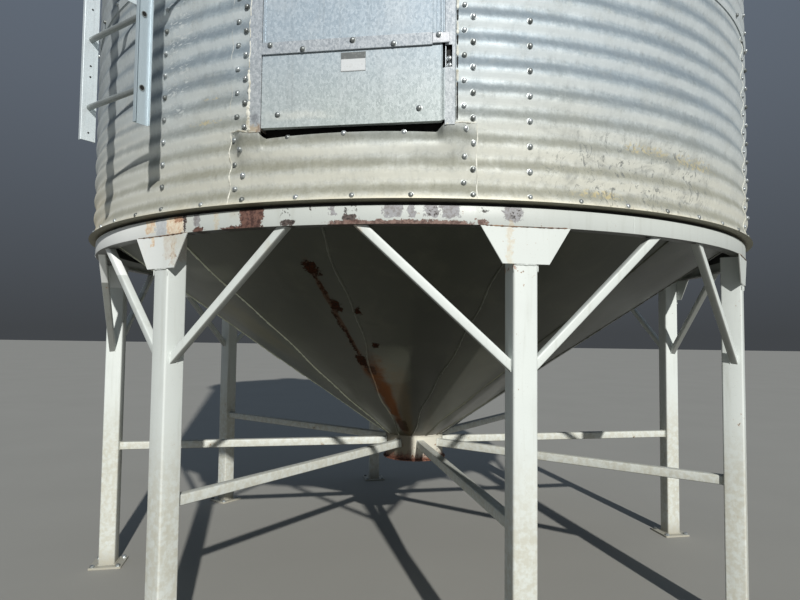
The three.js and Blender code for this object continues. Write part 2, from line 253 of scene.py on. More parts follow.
def bar(start, end, section, start_plane=None, end_plane=None):
    """A section swept from start to end, each end cut by a plane through it with that normal."""
    start, end = np.asarray(start, float), np.asarray(end, float)
    along = unit(end - start)
    side = unit(np.cross(along, (0, 0, 1) if abs(along[2]) < 0.999 else (0, -1, 0)))
    upward = np.cross(side, along)
    ends = []
    for point, plane in ((start, start_plane), (end, end_plane)):
        normal = along if plane is None else plane
        corners = point + section[:, :1] * side + section[:, 1:] * upward
        slide = ((point - corners) @ normal) / (along @ normal)
        ends.append(corners + slide[:, None] * along)
    return loft(ends)


def slab(outline, front, thickness, chamfer=1.0):
    """A flat [x, z] outline at the front, y from -front backwards, with its front edge eased."""
    outline = np.asarray(outline, float)
    inset = outline - chamfer * np.sign(outline - outline.mean(0))
    levels = ((inset, 0), (outline, chamfer), (outline, thickness))
    return loft([xyz(shape[:, 0], depth - front, shape[:, 1]) for shape, depth in levels])


def strip(left, right, bottom, top, front, thickness=DOOR_SHEET, chamfer=0.8):
    return slab([(left, bottom), (right, bottom), (right, top), (left, top)], front, thickness, chamfer)


def block(left, right, front, back, bottom, top, ease=1.0):
    """A box with its upright edges rounded."""
    width, depth = right - left, back - front
    section = rounded(width, depth, min(ease, width / 3, depth / 3), 3).T
    x, y = section[0] + (left + right) / 2, section[1] + (front + back) / 2
    return loft([xyz(x, y, z) for z in (bottom, top)])


def pair(near, far, *others):
    return [block(-far, -near, *others), block(near, far, *others)]


def bead(path, radius, seed, wobble=0.3, sides=6):
    """A bead of weld or caulk along a path, a little uneven."""
    path = np.asarray(path, float)
    along = unit(np.gradient(path, axis=0))
    guide = (0.31, 0.17, 0.93) if abs(along[0][2]) < 0.9 else (0.93, 0.31, 0.17)
    side = unit(np.cross(along, guide))
    upward = np.cross(side, along)
    thick = radius * (1 + wobble * np.random.default_rng(seed).uniform(-1, 1, len(path)))
    thick[[0, -1]] *= 0.5
    loop = circle(1, sides)
    around = loop[:, :1] * side[:, None] + loop[:, 1:] * upward[:, None]
    return loft(path[:, None] + thick[:, None, None] * around)


def weld(start, end, radius, seed, wobble=0.3, step=5):
    """A bead from start to end, its points about a step apart."""
    count = max(3, int(np.linalg.norm(np.subtract(end, start)) / step))
    return bead(np.linspace(start, end, count), radius, seed, wobble)


def dome(levels, sides):
    """A bolt head or a round hole's patch on z = 0, from [radius, height] levels."""
    return loft([xyz(*circle(radius, sides).T, z) for radius, z in levels])


WALL_BOLT = dome([(12.6, -2), (12.6, 1.2), (9.9, 1.6), (9.7, 6.6), (7.8, 9.4), (3.6, 11)], 12)
HEX_BOLT = dome([(17, -2), (17, 2.5), (13, 2.5), (13, 10.5), (11.5, 12)], 6)
# Discs that are coloured as the shade in holes.
RAIL_HOLE = dome([(4.6, -1), (4.6, 0.5)], 10)
RUNG_HOLE = dome([(10.1, -2), (10.1, 0)], 16)


def scatter(body, places, normals):
    """Copies of a body standing at places, their own +z along the normals."""
    points, faces = body
    places, normals = np.broadcast_arrays(places, unit(np.asarray(normals, float)))
    guide = np.where(np.abs(normals[:, 2:]) > 0.9, [[1.0, 0, 0]], [[0, 0, 1.0]])
    side = unit(np.cross(guide, normals))
    basis = np.stack([side, np.cross(normals, side), normals], 1)
    return [(points @ turn + place, faces) for turn, place in zip(basis, places)]


def linked(name, data):
    obj = bpy.data.objects.new(name, data)
    bpy.context.scene.collection.objects.link(obj)
    return obj


def piece(name, bodies, material, slot, *nodes, sharp=32):
    """One shown piece of the object from its bodies, on the fixed body."""
    faces, count = [], 0
    for points, corners in bodies:
        faces += [[corner + count for corner in face] for face in corners]
        count += len(points)
    mesh = bpy.data.meshes.new(name)
    mesh.from_pydata((np.concatenate([points for points, _ in bodies]) * MM).tolist(), [], faces)
    work = bmesh.new()
    work.from_mesh(mesh)
    bmesh.ops.recalc_face_normals(work, faces=work.faces)
    work.to_mesh(mesh)
    work.free()
    mesh.shade_smooth()
    mesh.set_sharp_from_angle(angle=math.radians(sharp))
    mesh.materials.append(material)
    obj = linked(name, mesh)
    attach(obj, "root")
    if nodes:
        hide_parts(*nodes)


def srgb(red, green, blue):
    """A colour given as a screen shows it, 0 to 255, for a shader."""
    shown = np.array([red, green, blue]) / 255
    return (*np.where(shown > 0.04, ((shown + 0.055) / 1.055) ** 2.4, shown / 12.92), 1)


def sign(operation, swapped=False):
    """What one of Python's signs does with a shader's value."""
    def apply(value, other):
        return value.finish.math(operation, *((other, value) if swapped else (value, other)))
    return apply


class Value:
    """What a shader node gives. Python's signs work on it where it is a number."""

    def __init__(self, finish, socket):
        self.finish = finish
        self.socket = socket

    __add__ = sign("ADD")
    __sub__ = sign("SUBTRACT")
    __rsub__ = sign("SUBTRACT", swapped=True)
    __mul__ = sign("MULTIPLY")
    __truediv__ = sign("DIVIDE")
    __pow__ = sign("POWER")


# How square the corners of a mark are: 2 is an oval, more comes nearer to a box.
CORNER_POWER = 4


class Finish:
    """A material, with its colour so far and short calls for its nodes."""

    def __init__(self, name):
        self.material = bpy.data.materials.new(name)
        self.material.use_nodes = True
        self.tree = self.material.node_tree
        self.shader = self.tree.nodes["Principled BSDF"]
        self.place = self.node("TexCoord", {}, "Object")
        self.x, self.y, self.z = self.split(self.place)

    def put(self, socket, value):
        if isinstance(value, Value):
            self.tree.links.new(value.socket, socket)
        else:
            socket.default_value = value

    def node(self, kind, inputs, output=0, **settings):
        """One output of a new node, its inputs given by number or name."""
        node = self.tree.nodes.new("ShaderNode" + kind)
        for name, value in settings.items():
            setattr(node, name, value)
        for key, value in inputs.items():
            self.put(node.inputs[key], value)
        return Value(self, node.outputs[output])

    def split(self, vector):
        """The three coordinates of a vector."""
        first = self.node("SeparateXYZ", {0: vector})
        return [Value(self, socket) for socket in first.socket.node.outputs]

    def math(self, operation, first, second=0.0):
        return self.node("Math", {0: first, 1: second}, operation=operation)

    def largest(self, first, second):
        return self.math("MAXIMUM", first, second)

    def ramp(self, value, low, high, start=0.0, end=1.0):
        """start below low, end above high, smooth between."""
        inputs = dict(enumerate((value, low, high, start, end)))
        return self.node("MapRange", inputs, interpolation_type="SMOOTHSTEP")

    def mix(self, share, first, second):
        """Two colours mixed: each is a value, or a tone as a screen shows it."""
        first, second = (srgb(*tone) if isinstance(tone, tuple) else tone for tone in (first, second))
        return self.node("Mix", {0: share, 6: first, 7: second}, 2, data_type="RGBA")

    def lay(self, share, tone):
        self.colour = self.mix(share, self.colour, tone)

    def coats(self, *rows):
        """Lays tones on where a value passes from low to high, each up to a share."""
        for value, low, high, share, tone in rows:
            self.lay(self.ramp(value, low, high, 0, share), tone)

    def upright(self, scale):
        """The place, its z scaled: a small scale draws marks out upright."""
        return self.node("Mapping", {"Vector": self.place, "Scale": (1, 1, scale)}) if scale else self.place

    def noise(self, scale, detail=4.0, upright=None, rough=0.55, distortion=0.0):
        inputs = {"Vector": self.upright(upright), "Scale": scale, "Detail": detail, "Roughness": rough}
        return self.node("TexNoise", {**inputs, "Distortion": distortion}, "Fac")

    def cells(self, scale, upright=None):
        colour = self.node("TexVoronoi", {"Vector": self.upright(upright), "Scale": scale}, "Color")
        return self.node("RGBToBW", {0: colour})

    def azimuth(self):
        """Degrees from the front, growing towards +X."""
        return self.math("ARCTAN2", self.x, self.y * -1) * math.degrees(1)

    def radius(self):
        return self.math("SQRT", self.x * self.x + self.y * self.y)

    def ragged(self, value, reach, scale):
        """A coordinate pushed to and fro, so that a mark cut along it gets a torn edge."""
        return value + (self.noise(scale, 7, rough=0.72, distortion=0.5) - 0.5) * reach

    def window(self, across, low, high, upward, bottom, top, edge, noise, soft=0.06):
        """About 1 inside a window of two coordinates, with an uneven edge."""
        far = []
        for value, start, end in ((across, low, high), (upward, bottom, top)):
            share = self.math("ABSOLUTE", value - (start + end) / 2) / ((end - start) / 2)
            far.append(share ** CORNER_POWER)
        distance = (far[0] + far[1]) ** (1 / CORNER_POWER) + (noise - 0.5) * edge
        return self.ramp(distance, 1 + soft, 1 - soft)

    def bump(self, height, distance, strength):
        inputs = {"Strength": strength, "Distance": distance, "Height": height}
        self.put(self.shader.inputs["Normal"], self.node("Bump", inputs))

    def surface(self, roughness, metallic=0.0):
        for name, value in (("Base Color", self.colour), ("Roughness", roughness), ("Metallic", metallic)):
            self.put(self.shader.inputs[name], value)
        return self.material


# How far the dirt and painted shade on the corrugation's upper slopes are shifted towards the crests, in
# radians of the wave.
DUST_AND_SHADE_PHASE = -0.06
# Yellow stains on the wall: first and last azimuth, lowest and highest z.
WALL_STAINS = [
    (-20.0, -15.2, 2.424, 2.442), (-18.4, -16.2, 2.528, 2.538), (31.5, 38.5, 2.31, 2.35),
    (40.5, 47.5, 2.29, 2.345), (25.0, 31.0, 2.098, 2.13),
]


def weathered_sheet(name, banded):
    """Weathered sheet: bluish grey above, cream near the foot, painted light on the left, and with bands:
    dirt and painted shade on upper slopes, painted light on lower ones.
    """
    f = Finish(name)
    patches = f.noise(1.3, 5)
    clouds = f.noise(3.4, 5, 2.4, distortion=0.4)
    blotches = f.noise(7.5, 6, 1.6, 0.65, 0.6)
    drawn = f.noise(9, 5, 0.06)
    fine = f.noise(60, 4, 0.3)
    flecks = f.noise(105, 4, rough=0.7)
    spangle = f.cells(48)
    low = f.ramp(f.z + patches * 0.45, 2.9, 2.35)
    f.colour = f.mix(patches, (148, 162, 171), (182, 194, 200))
    f.coats((clouds, 0.44, 0.68, 0.4, (132, 146, 155)))
    f.lay(low * 0.85, f.mix(clouds, (206, 206, 194), (188, 187, 173)))
    f.coats(
        (blotches, 0.5, 0.72, 0.42, (216, 219, 212)), (drawn, 0.5, 0.72, 0.2, (120, 124, 118)),
        (fine, 0.5, 0.75, 0.22, (126, 128, 122)), (flecks, 0.52, 0.66, 0.3, (122, 128, 130)),
        (flecks, 0.46, 0.34, 0.3, (226, 230, 228)), (spangle, 0.2, 0.9, 0.16, (226, 232, 234)),
    )
    azimuth = f.azimuth()
    # Painted light: the wall lighter on its left side, where the key light only grazes it.
    painted_light_left_wall = f.ramp(azimuth, -14, -42, 0, 0.85) * f.ramp(azimuth, -150, -70)
    f.lay(painted_light_left_wall * f.ramp(f.z, 2.8, 2.4, 0.3, 1), (238, 239, 230))
    # Lighter from azimuth 40 round to 150.
    f.lay(f.ramp(azimuth, 40, 60, 0, 0.3) * f.ramp(azimuth, 150, 90), (228, 231, 224))
    dust_and_painted_shade = 0.0
    if banded:
        phase = (f.z - FIRST_ROW * MM) * (2 * math.pi / (PITCH * MM))
        uneven = (fine - 0.5) * 0.5 + (blotches - 0.5) * 1.7
        facing_up = f.math("SINE", phase + DUST_AND_SHADE_PHASE) + uneven
        dust_and_painted_shade = f.ramp(facing_up, -0.5, 1.2)
        # Dirt and painted shade: the upper slopes darkened in bands.
        f.lay(dust_and_painted_shade * 0.7, f.mix(low, (100, 113, 123), (122, 121, 103)))
        # Painted light: the lower, downward-facing slopes lightened in bands.
        f.coats((facing_up, -0.05, -1.15, 0.8, f.mix(low, (226, 234, 236), (230, 230, 218))))
    blurred = f.noise(24, 5)
    broken = f.ramp(f.noise(70, 4), 0.46, 0.6)
    for first, last, bottom, top in WALL_STAINS:
        stain = f.window(azimuth, first, last, f.z, bottom, top, 1.6, blurred, 0.35)
        f.lay(stain * broken * 0.44, (211, 190, 124))
    # Painted light: a warm, lighter patch low on the left side.
    painted_warm_light_lower_left = f.window(azimuth, -85, -46, f.z, 1.9, 2.3, 0.7, blurred, 0.5)
    f.lay(painted_warm_light_lower_left * 0.5, (250, 234, 198))
    scuffed = f.window(azimuth, 22, 47, f.z, 2.03, 2.36, 1.2, blurred, 0.5)
    f.lay(scuffed * f.ramp(f.noise(30, 6, 0.6, 0.7, 1.6), 0.55, 0.63) * 0.75, (100, 105, 106))
    f.lay(scuffed * f.ramp(blotches, 0.5, 0.62) * 0.4, (142, 145, 140))
    rubbed = f.window(azimuth, -24.9, -20.5, f.z, 2.46, 3.1, 1.0, blurred, 0.4)
    f.lay(rubbed * f.ramp(f.noise(30, 5, 2.2, distortion=0.8), 0.54, 0.66) * 0.5, (232, 236, 234))
    # Cream dirt near the foot, and below it the drip edge painted dark olive as the shade under its lip.
    f.coats((f.z + drawn * 0.05, 2.12, 2.075, 0.45, (200, 190, 160)),
            (f.z, 2.0615, 2.0595, 0.8, (84, 80, 58)))
    f.bump(spangle * 0.5 + f.noise(350, 2), 0.0004, 0.35)
    roughness = f.ramp(patches + low * 0.4, 0.2, 1.1, 0.52, 0.62)
    return f.surface(roughness + dust_and_painted_shade * 0.18, f.ramp(low, 0, 1, 0.32, 0.24))


def flat_sheet(name, low_tint, high_tint, spangle_share):
    """Flat galvanised sheet with spangles and faint upright streaks, and its roughness."""
    f = Finish(name)
    wide = f.noise(2.2, 4)
    spangle = f.cells(130, 0.7)
    small = f.cells(320)
    f.colour = f.mix(f.ramp(f.z, 2.35, 2.8), low_tint, high_tint)
    f.coats(
        (wide, 0.3, 0.7, 0.3, (160, 170, 178)), (f.noise(11, 5, 0.5), 0.48, 0.7, 0.22, (214, 220, 222)),
        (spangle, 0.1, 0.95, spangle_share, (226, 230, 232)),
        (small, 0.3, 0.9, spangle_share, (128, 136, 142)),
        (f.noise(46, 4, 0.03), 0.5, 0.78, 0.24, (140, 146, 148)),
    )
    f.bump(spangle + small, 0.0003, 0.25)
    return f, f.ramp(spangle + wide, 0.3, 1.7, 0.34, 0.5)


def ladder_sheet():
    """The ladder's rails: the left one bright, the right one with painted shade and a bluish painted sky
    reflection.
    """
    f, roughness = flat_sheet("ladder_galvanised", (222, 232, 235), (226, 236, 240), 0.14)
    # Painted shade and painted sky reflection: the right rail darker and bluer.
    f.coats((f.azimuth(), -27.5, -23.5, 0.75, (166, 182, 190)))
    return f.surface(roughness, 0.28)


def door_strips():
    """Greyer spangled strips of the doorway, worn at the left one's foot and at the rail's end."""
    f, roughness = flat_sheet("door_strip_sheet", (176, 182, 184), (174, 182, 190), 0.34)
    front = f.ramp(f.y, -1.9, -2.0)
    torn = f.ragged(f.x, 0.05, 60)
    torn_z = f.ragged(f.z, 0.05, 52)
    speck = f.noise(90, 5)
    for low, high, bottom, top, tone, share in (
        (-0.397, -0.370, 2.376, 2.414, (96, 98, 106), 0.55),
        (-0.412, -0.360, 2.336, 2.366, (196, 172, 132), 0.6),
        (-0.372, -0.355, 2.338, 2.372, (128, 92, 58), 0.5),
        (0.335, 0.402, 2.655, 2.693, (228, 228, 232), 0.6),
    ):
        f.lay(f.window(torn, low, high, torn_z, bottom, top, 1.3, speck, 0.5) * front * share, tone)
    return f.surface(roughness, 0.4)


def door_panels():
    """Smoother bluish sheet, with a pale smear low on the left."""
    f, roughness = flat_sheet("door_panel_sheet", (193, 203, 200), (178, 194, 206), 0.17)
    smear = f.window(f.x, -0.30, -0.10, f.z, 2.386, 2.414, 2.2, f.noise(30, 5), 0.9)
    f.lay(smear * 0.42, (228, 229, 219))
    return f.surface(roughness, 0.42)


# Worn places on the ring: first and last azimuth, lowest and highest z in millimetres, and kind.
RING_MARKS = [
    (-12.8, -9.9, 1950, 2062, "maroon"), (-15.4, -11.4, 1956, 1976, "maroon"),
    (-7.7, -6.6, 2006, 2034, "specks"), (-7.6, -6.1, 1964, 1992, "metal"),
    (-4.2, -3.3, 2018, 2046, "specks"), (-2.0, -1.3, 2004, 2050, "lilac"),
    (-0.4, 1.2, 2004, 2050, "specks"), (-0.5, 1.1, 1970, 2004, "metal"),
    (3.8, 5.9, 1994, 2060, "lilac"), (6.5, 7.3, 1990, 2060, "lilac"),
    (8.2, 9.7, 1992, 2060, "lilac"), (8.4, 9.6, 1996, 2046, "specks"),
    (10.0, 12.0, 1988, 2060, "lilac"), (14.2, 14.8, 2010, 2046, "specks"), (13.9, 15.0, 1966, 1990, "brown"),
    (16.7, 18.7, 1982, 2052, "lilac"), (17.4, 18.6, 1984, 2046, "specks"),
    (-2.2, 13.4, 1955, 1982, "brown"), (17.1, 17.8, 1955, 1990, "drip"),
    (-28.9, -26.7, 1980, 2052, "pink"), (-26.6, -24.4, 1966, 2052, "pale"),
    (-24.3, -21.4, 1962, 2046, "pink"), (-22.9, -21.3, 2016, 2042, "rust"),
    (-21.35, -20.95, 1962, 2056, "metal"), (-19.6, -18.7, 1988, 2056, "lilac"),
    (-19.7, -18.2, 1960, 1984, "maroon"), (-16.6, -15.8, 1960, 2044, "drip"),
]
# The same for the legs, their gussets and braces.
LEG_MARKS = [
    (-27.7, -26.9, 1922, 1974, "pink"), (-25.0, -22.6, 1856, 1974, "stained"),
    (-23.6, -22.7, 1830, 1930, "stained"), (0.5, 1.5, 1926, 1974, "stained"),
    (17.1, 17.8, 1800, 1980, "drip"), (17.92, 18.3, 1794, 1814, "rust"),
]
# The two tones of each kind, and how much of it covers.
WORN = {
    "maroon": ((112, 82, 72), (66, 44, 40), 1.0),
    "metal": ((92, 82, 78), (44, 36, 34), 1.0),
    "specks": ((120, 112, 106), (40, 36, 34), 0.9),
    "lilac": ((150, 150, 154), (124, 120, 120), 0.9),
    "brown": ((132, 106, 96), (84, 58, 50), 0.95),
    "pink": ((232, 219, 196), (216, 184, 152), 0.9),
    "rust": ((178, 118, 82), (124, 74, 52), 0.7),
    "pale": ((190, 194, 198), (176, 180, 184), 0.8),
    "drip": ((212, 196, 152), (194, 160, 108), 0.34),
    "stained": ((206, 178, 128), (178, 134, 88), 0.28),
}


def worn_marks(f, marks):
    """Lays the marks of a list over the colour, and says where they lie."""
    azimuth = f.ragged(f.azimuth(), 2.6, 33)
    height = f.ragged(f.z, 0.05, 41)
    mottle = f.noise(64, 6, rough=0.68)
    finer = f.noise(170, 4, rough=0.7)
    darker = f.ramp(mottle + finer * 0.35, 0.6, 0.78)
    breaks = {"specks": f.ramp(mottle, 0.53, 0.57)}
    breaks["drip"] = breaks["stained"] = f.ramp(mottle, 0.36, 0.6, 0.4, 1.0)
    covered = 0.0
    for low, high, bottom, top, kind in marks:
        tone, dark, share = WORN[kind]
        mark = f.window(azimuth, low, high, height, bottom * MM, top * MM, 0.5, finer)
        if kind in breaks:
            mark = mark * breaks[kind]
        mark = mark * share
        f.lay(mark, f.mix(darker, tone, dark))
        covered = f.largest(covered, mark)
    return covered


def white_paint(name, marks, darken, wear=0.0):
    """Off-white paint, worn: chips edged with rust, stains and dirt that runs down, with painted shade on
    downward faces, in the neck and under the ring, and painted light on the left.
    """
    f = Finish(name)
    wide = f.noise(3.5, 5)
    ragged = f.noise(34, 6, rough=0.65)
    speck = f.noise(120, 5, rough=0.7)
    azimuth, radius = f.azimuth(), f.radius()
    f.colour = f.mix(wide, (204, 210, 207), (220, 226, 222))
    f.coats((f.noise(26, 5, 0.08), 0.52, 0.75, 0.3, (170, 172, 160)),
            (speck, 0.6, 0.72, 0.35, (158, 158, 148)))
    stain = f.ramp(f.noise(7, 5), 0.5, 0.68) * f.ramp(f.z, 1.78, 1.95) * f.ramp(f.x, 0.1, -0.5)
    f.lay(stain * 0.34, (176, 158, 112))
    f.lay(f.ramp(f.z, 1.2, 0.7) * f.ramp(ragged, 0.36, 0.62, 0.3, 1) * 0.5, (172, 164, 138))
    upwards = f.split(f.node("NewGeometry", {}, "Normal"))[2]
    # Painted shade on faces that turn downwards; the second row is dirt near the ground.
    f.coats((upwards, -0.35, -0.6, 0.6, (74, 72, 60)),
            (f.z + ragged * 0.12, 0.2, 0.02, 0.6, (128, 116, 92)))
    worn = ragged + (wide - 0.5) * 0.5
    chip = f.ramp(worn, 0.75 - wear, 0.765 - wear)
    f.coats((worn, 0.715 - wear, 0.74 - wear, 0.7, (166, 128, 92)))
    f.lay(chip, (96, 92, 84))
    upper = f.ramp(f.z, GUSSET_LOW * MM - 0.004, GUSSET_LOW * MM + 0.004)
    f.lay(upper * darken, (156, 160, 155))
    # Painted light: the upper parts lighter on the left side.
    painted_light_left_ring = f.ramp(azimuth, -16, -36, 0, 0.9) * f.ramp(azimuth, -150, -70)
    f.lay(painted_light_left_ring * upper, (250, 253, 251))
    bare = f.largest(chip, worn_marks(f, marks))
    # Painted shade: the neck in the recess over the ring painted near black.
    f.lay(f.ramp(radius, 2.1, 2.096) * f.ramp(f.z, 2.034, 2.042), (26, 25, 22))
    # Painted shade: the ring's underside darkened.
    inside = f.ramp(radius, 2.1068, 2.1055) * f.ramp(f.z, 1.972, 1.968) * f.ramp(f.z, 1.9658, 1.966)
    f.lay(inside * 0.9, (46, 44, 36))
    f.bump(1 - bare + speck * 0.25, 0.0006, 0.5)
    return f.surface(f.ramp(speck + bare, 0.3, 1.6, 0.42, 0.75))


# Marks and painted light on the cone: first and last azimuth, least and greatest radius, how torn and how
# soft the edge is, share, tone and how much it dulls. Among them are painted sun patches, a painted shadow of
# a leg and a painted reflection.
CONE_MARKS_AND_PAINTED_LIGHT = [
    # Painted reflection, yellowish.
    (-47, -36, 1.1, 1.5, 1.2, 0.6, 0.4, (112, 104, 52), 0),
    (-38, -26.5, 1.64, 1.73, 0.3, 0.5, 0.4, (122, 124, 108), 0),
    # Painted sun patch.
    (-5.4, 5.9, 0.8, 1.14, 0.3, 0.12, 0.4, (100, 102, 86), 0),
    # Painted sun patch.
    (17.5, 39, 0.28, 1.12, 0.3, 0.2, 0.3, (96, 98, 82), 0),
    # Painted shadow of the first leg and its gusset.
    (6.2, 16.8, 0.3, 1.5, 0.3, 0.2, 0.45, (30, 31, 22), 0),
    (-11.2, -3.9, 0.3, 1.0, 1.6, 0.5, 0.68, (108, 56, 5), 0.8),
    (-3.4, 4.6, 0.2, 0.9, 1.4, 0.5, 0.42, (96, 72, 22), 0),
    (-10.3, -9.2, 0.9, 1.7, 1.4, 0.4, 0.5, (84, 42, 6), 0.6),
]
# Rust on the cone: azimuth and radius of the middle, half width in degrees, half length, strength.
CONE_RUST = [
    (-9.6, 1.684, 1.2, 0.042, 1.0), (-9.7, 1.565, 0.26, 0.09, 0.95), (-8.9, 1.447, 1.0, 0.044, 1.0),
    (-10.3, 1.335, 0.34, 0.075, 0.95), (-9.9, 1.215, 0.6, 0.055, 0.95), (-10.1, 1.12, 0.4, 0.06, 0.9),
    (-10.1, 1.008, 1.7, 0.05, 1.0), (-8.6, 0.93, 1.7, 0.04, 0.75), (-4.5, 1.408, 0.8, 0.022, 1.0),
    (-3.5, 1.152, 0.8, 0.02, 1.0), (-5.6, 0.34, 5.2, 0.07, 0.7),
]


def cone_paint(name, with_painted_weld_highlight):
    """Cone paint darkened as painted shade with an olive painted reflection, half glossy and dusty, with
    painted sun patches, a painted leg shadow, painted weld highlights and one rusty run down the front.
    """
    f = Finish(name)
    wide = f.noise(2.2, 4)
    speck = f.noise(150, 4)
    blurred = f.noise(13, 6, rough=0.62)
    radius, azimuth = f.radius(), f.azimuth()
    # Painted shade and an olive painted reflection: the base colour dark olive.
    f.colour = f.mix(wide, (42, 44, 31), (56, 58, 43))
    dust = f.noise(5, 5, distortion=0.8) + speck * 0.4
    # Painted reflection lightens the cone towards the left; the second row is dust.
    f.coats((azimuth, -12, -42, 0.45, (76, 80, 56)), (dust, 0.62, 0.95, 0.28, (84, 85, 66)))
    dull = 0.0
    # Lays the cone's marks and its painted light and shade: sun patches, a leg shadow and a reflection.
    for first, last, near, far, edge, soft, share, tone, dulls in CONE_MARKS_AND_PAINTED_LIGHT:
        patch = f.window(azimuth, first, last, radius, near, far, edge, blurred, soft)
        f.lay(patch * share, tone)
        if dulls:
            dull = f.largest(dull, patch * dulls)
    torn = f.ragged(azimuth, 4.2, 36)
    torn_radius = f.ragged(radius, 0.1, 44)
    rust = f.mix(f.ramp(speck, 0.42, 0.62), (24, 12, 4), (62, 28, 6))
    for middle, at, half, half_length, strength in CONE_RUST:
        near, far = at - half_length, at + half_length
        mark = f.window(torn, middle - half, middle + half, torn_radius, near, far, 0.9, speck, 0.14)
        mark = mark * strength
        f.lay(mark, rust)
        dull = f.largest(dull, mark)
    f.coats((radius + blurred * 0.2, 0.42, 0.25, 0.35, (90, 66, 36)))
    if with_painted_weld_highlight:
        # Painted highlight: the welds on the left lightened.
        f.lay(f.ramp(azimuth, -18, -26, 0.07, 1), (214, 218, 194))
    f.bump(wide * 4 + speck * 0.3, 0.0008, 0.4)
    f.put(f.shader.inputs["Sheen Weight"], f.ramp(dull, 0, 1, 0.22, 0))
    f.put(f.shader.inputs["Specular IOR Level"], f.ramp(dull, 0, 1, 0.5, 0.08))
    f.put(f.shader.inputs["Sheen Roughness"], 0.3)
    return f.surface(f.ramp(wide + speck * 0.5, 0.3, 1.2, 0.28, 0.42) + dull * 0.4)


def collar_paint():
    """White paint on the collar, with a painted shadow on its left part, rusted through at its foot."""
    f = Finish("rusty_collar_paint")
    ragged = f.noise(30, 6, rough=0.65)
    speck = f.noise(110, 5)
    f.colour = f.mix(f.noise(6), (214, 212, 200), (190, 186, 168))
    # Painted shadow: the left part darkened, where a leg's shadow falls.
    f.coats((f.x + ragged * 0.03, 0.05, 0.0, 0.74, (78, 66, 40)))
    rust = f.mix(f.ramp(speck, 0.4, 0.6), (78, 44, 34), (126, 84, 66))
    f.coats((f.z + ragged * 0.1, 0.77, 0.72, 1, rust), (ragged, 0.6, 0.66, 1, (120, 82, 60)))
    f.bump(ragged + speck, 0.001, 0.5)
    return f.surface(f.ramp(ragged, 0.3, 0.7, 0.5, 0.8))


def blank_label():
    """A bare plate in two tones, with nothing written on it."""
    f = Finish("blank_plate")
    wear = f.noise(90, 4)
    f.colour = f.mix(f.ramp(f.z, 2.6125, 2.614), (206, 210, 212), (104, 108, 108))
    f.coats((wear, 0.55, 0.72, 0.4, (160, 162, 158)))
    rim = f.largest(f.ramp(f.z, 2.6375, 2.6382), f.ramp(f.z, 2.5675, 2.5668))
    rim = f.largest(rim, f.ramp(f.math("ABSOLUTE", f.x - 0.022), 0.0482, 0.0488))
    f.lay(rim * 0.6, (120, 124, 124))
    f.bump(wear, 0.0002, 0.3)
    return f.surface(f.ramp(wear, 0.3, 0.7, 0.38, 0.55), 0.1)


def two_toned(name, cloud, edges, tones, rough, bump, grain=None, flecks=(), metallic=0.0):
    """A plain finish: clouds of two tones with flecks, and fine grain, or the clouds' own, for its bump."""
    f = Finish(name)
    clouds = f.noise(*cloud)
    grains = f.noise(*grain) if grain else clouds
    f.colour = f.mix(f.ramp(clouds, *edges) if edges else clouds, *tones)
    f.coats(*((grains, *row) for row in flecks))
    f.bump(grains, *bump)
    return f.surface(f.ramp(clouds, *rough), metallic)


WALL_FINISH = weathered_sheet("weathered_galvanised_sheet", banded=True)
STRIP_FINISH = door_strips()
PANEL_FINISH = door_panels()
ROOF_FINISH = weathered_sheet("weathered_roof_sheet", banded=False)
LADDER_FINISH = ladder_sheet()
RUNG_FINISH = two_toned("dull_zinc_rungs", (14, 5), None, ((132, 139, 140), (158, 164, 162)),
                        (0.3, 0.7, 0.4, 0.55), (0.0003, 0.3), (160, 4),
                        [(0.55, 0.7, 0.4, (88, 88, 82))], 0.4)
RING_FINISH = white_paint("white_ring_paint", RING_MARKS, 0.42, 0.02)
LEG_FINISH = white_paint("white_leg_paint", LEG_MARKS, 0.1)
WELD_FINISH = two_toned("rusty_weld", (40, 5), (0.42, 0.6), ((84, 62, 50), (150, 124, 100)),
                        (0.3, 0.7, 0.6, 0.8), (0.0006, 0.5), (150, 3))
CONE_FINISH = cone_paint("cone_paint_darkened_as_shade", with_painted_weld_highlight=False)
CONE_WELD_FINISH = cone_paint("cone_weld_darkened_as_shade", with_painted_weld_highlight=True)
COLLAR_FINISH = collar_paint()
BOLT_FINISH = two_toned("zinc_bolts", (9, 2), (0.42, 0.62), ((186, 192, 194), (122, 126, 124)),
                        (0.35, 0.7, 0.3, 0.44), (0.0002, 0.3), (300, 3),
                        [(0.58, 0.72, 0.35, (104, 96, 84))], 0.65)
CAULK_FINISH = two_toned("sealing_caulk", (25, 5), (0.45, 0.7), ((224, 224, 214), (176, 172, 156)),
                         (0.3, 0.7, 0.55, 0.8), (0.0006, 0.5), (160, 3))
# Near-black fill painted as the shade in recesses, gaps and holes.
SHADE_FILL_FINISH = two_toned("painted_shade_fill", (60, 4), None, ((10, 10, 9), (26, 25, 22)),
                        (0.3, 0.7, 0.7, 0.9), (0.0005, 0.4))


def bolt_piece(name, bodies, slot, sharp=50):
    piece(name, bodies, BOLT_FINISH, slot, sharp=sharp)


# Wall.

def corrugated(z):
    """Radius of the wall's outer side, crests at the bolt rows."""
    return CREST - DEPTH / 2 * (1 - np.cos(2 * math.pi * (z - FIRST_ROW) / PITCH))


def wall_row(tier):
    return FIRST_ROW + (tier - 1) * TIER


def sheet_heights(bottom, top):
    """Heights of a sheet's profile, on the corrugation's own steps between its two edges."""
    first, last = math.ceil((bottom - FIRST_ROW) / STEP_HEIGHT), math.floor((top - FIRST_ROW) / STEP_HEIGHT)
    inner = FIRST_ROW + STEP_HEIGHT * np.arange(first, last + 1)
    inner = inner[(inner > bottom + 2) & (inner < top - 2)]
    return np.concatenate([[bottom], inner, [top]])


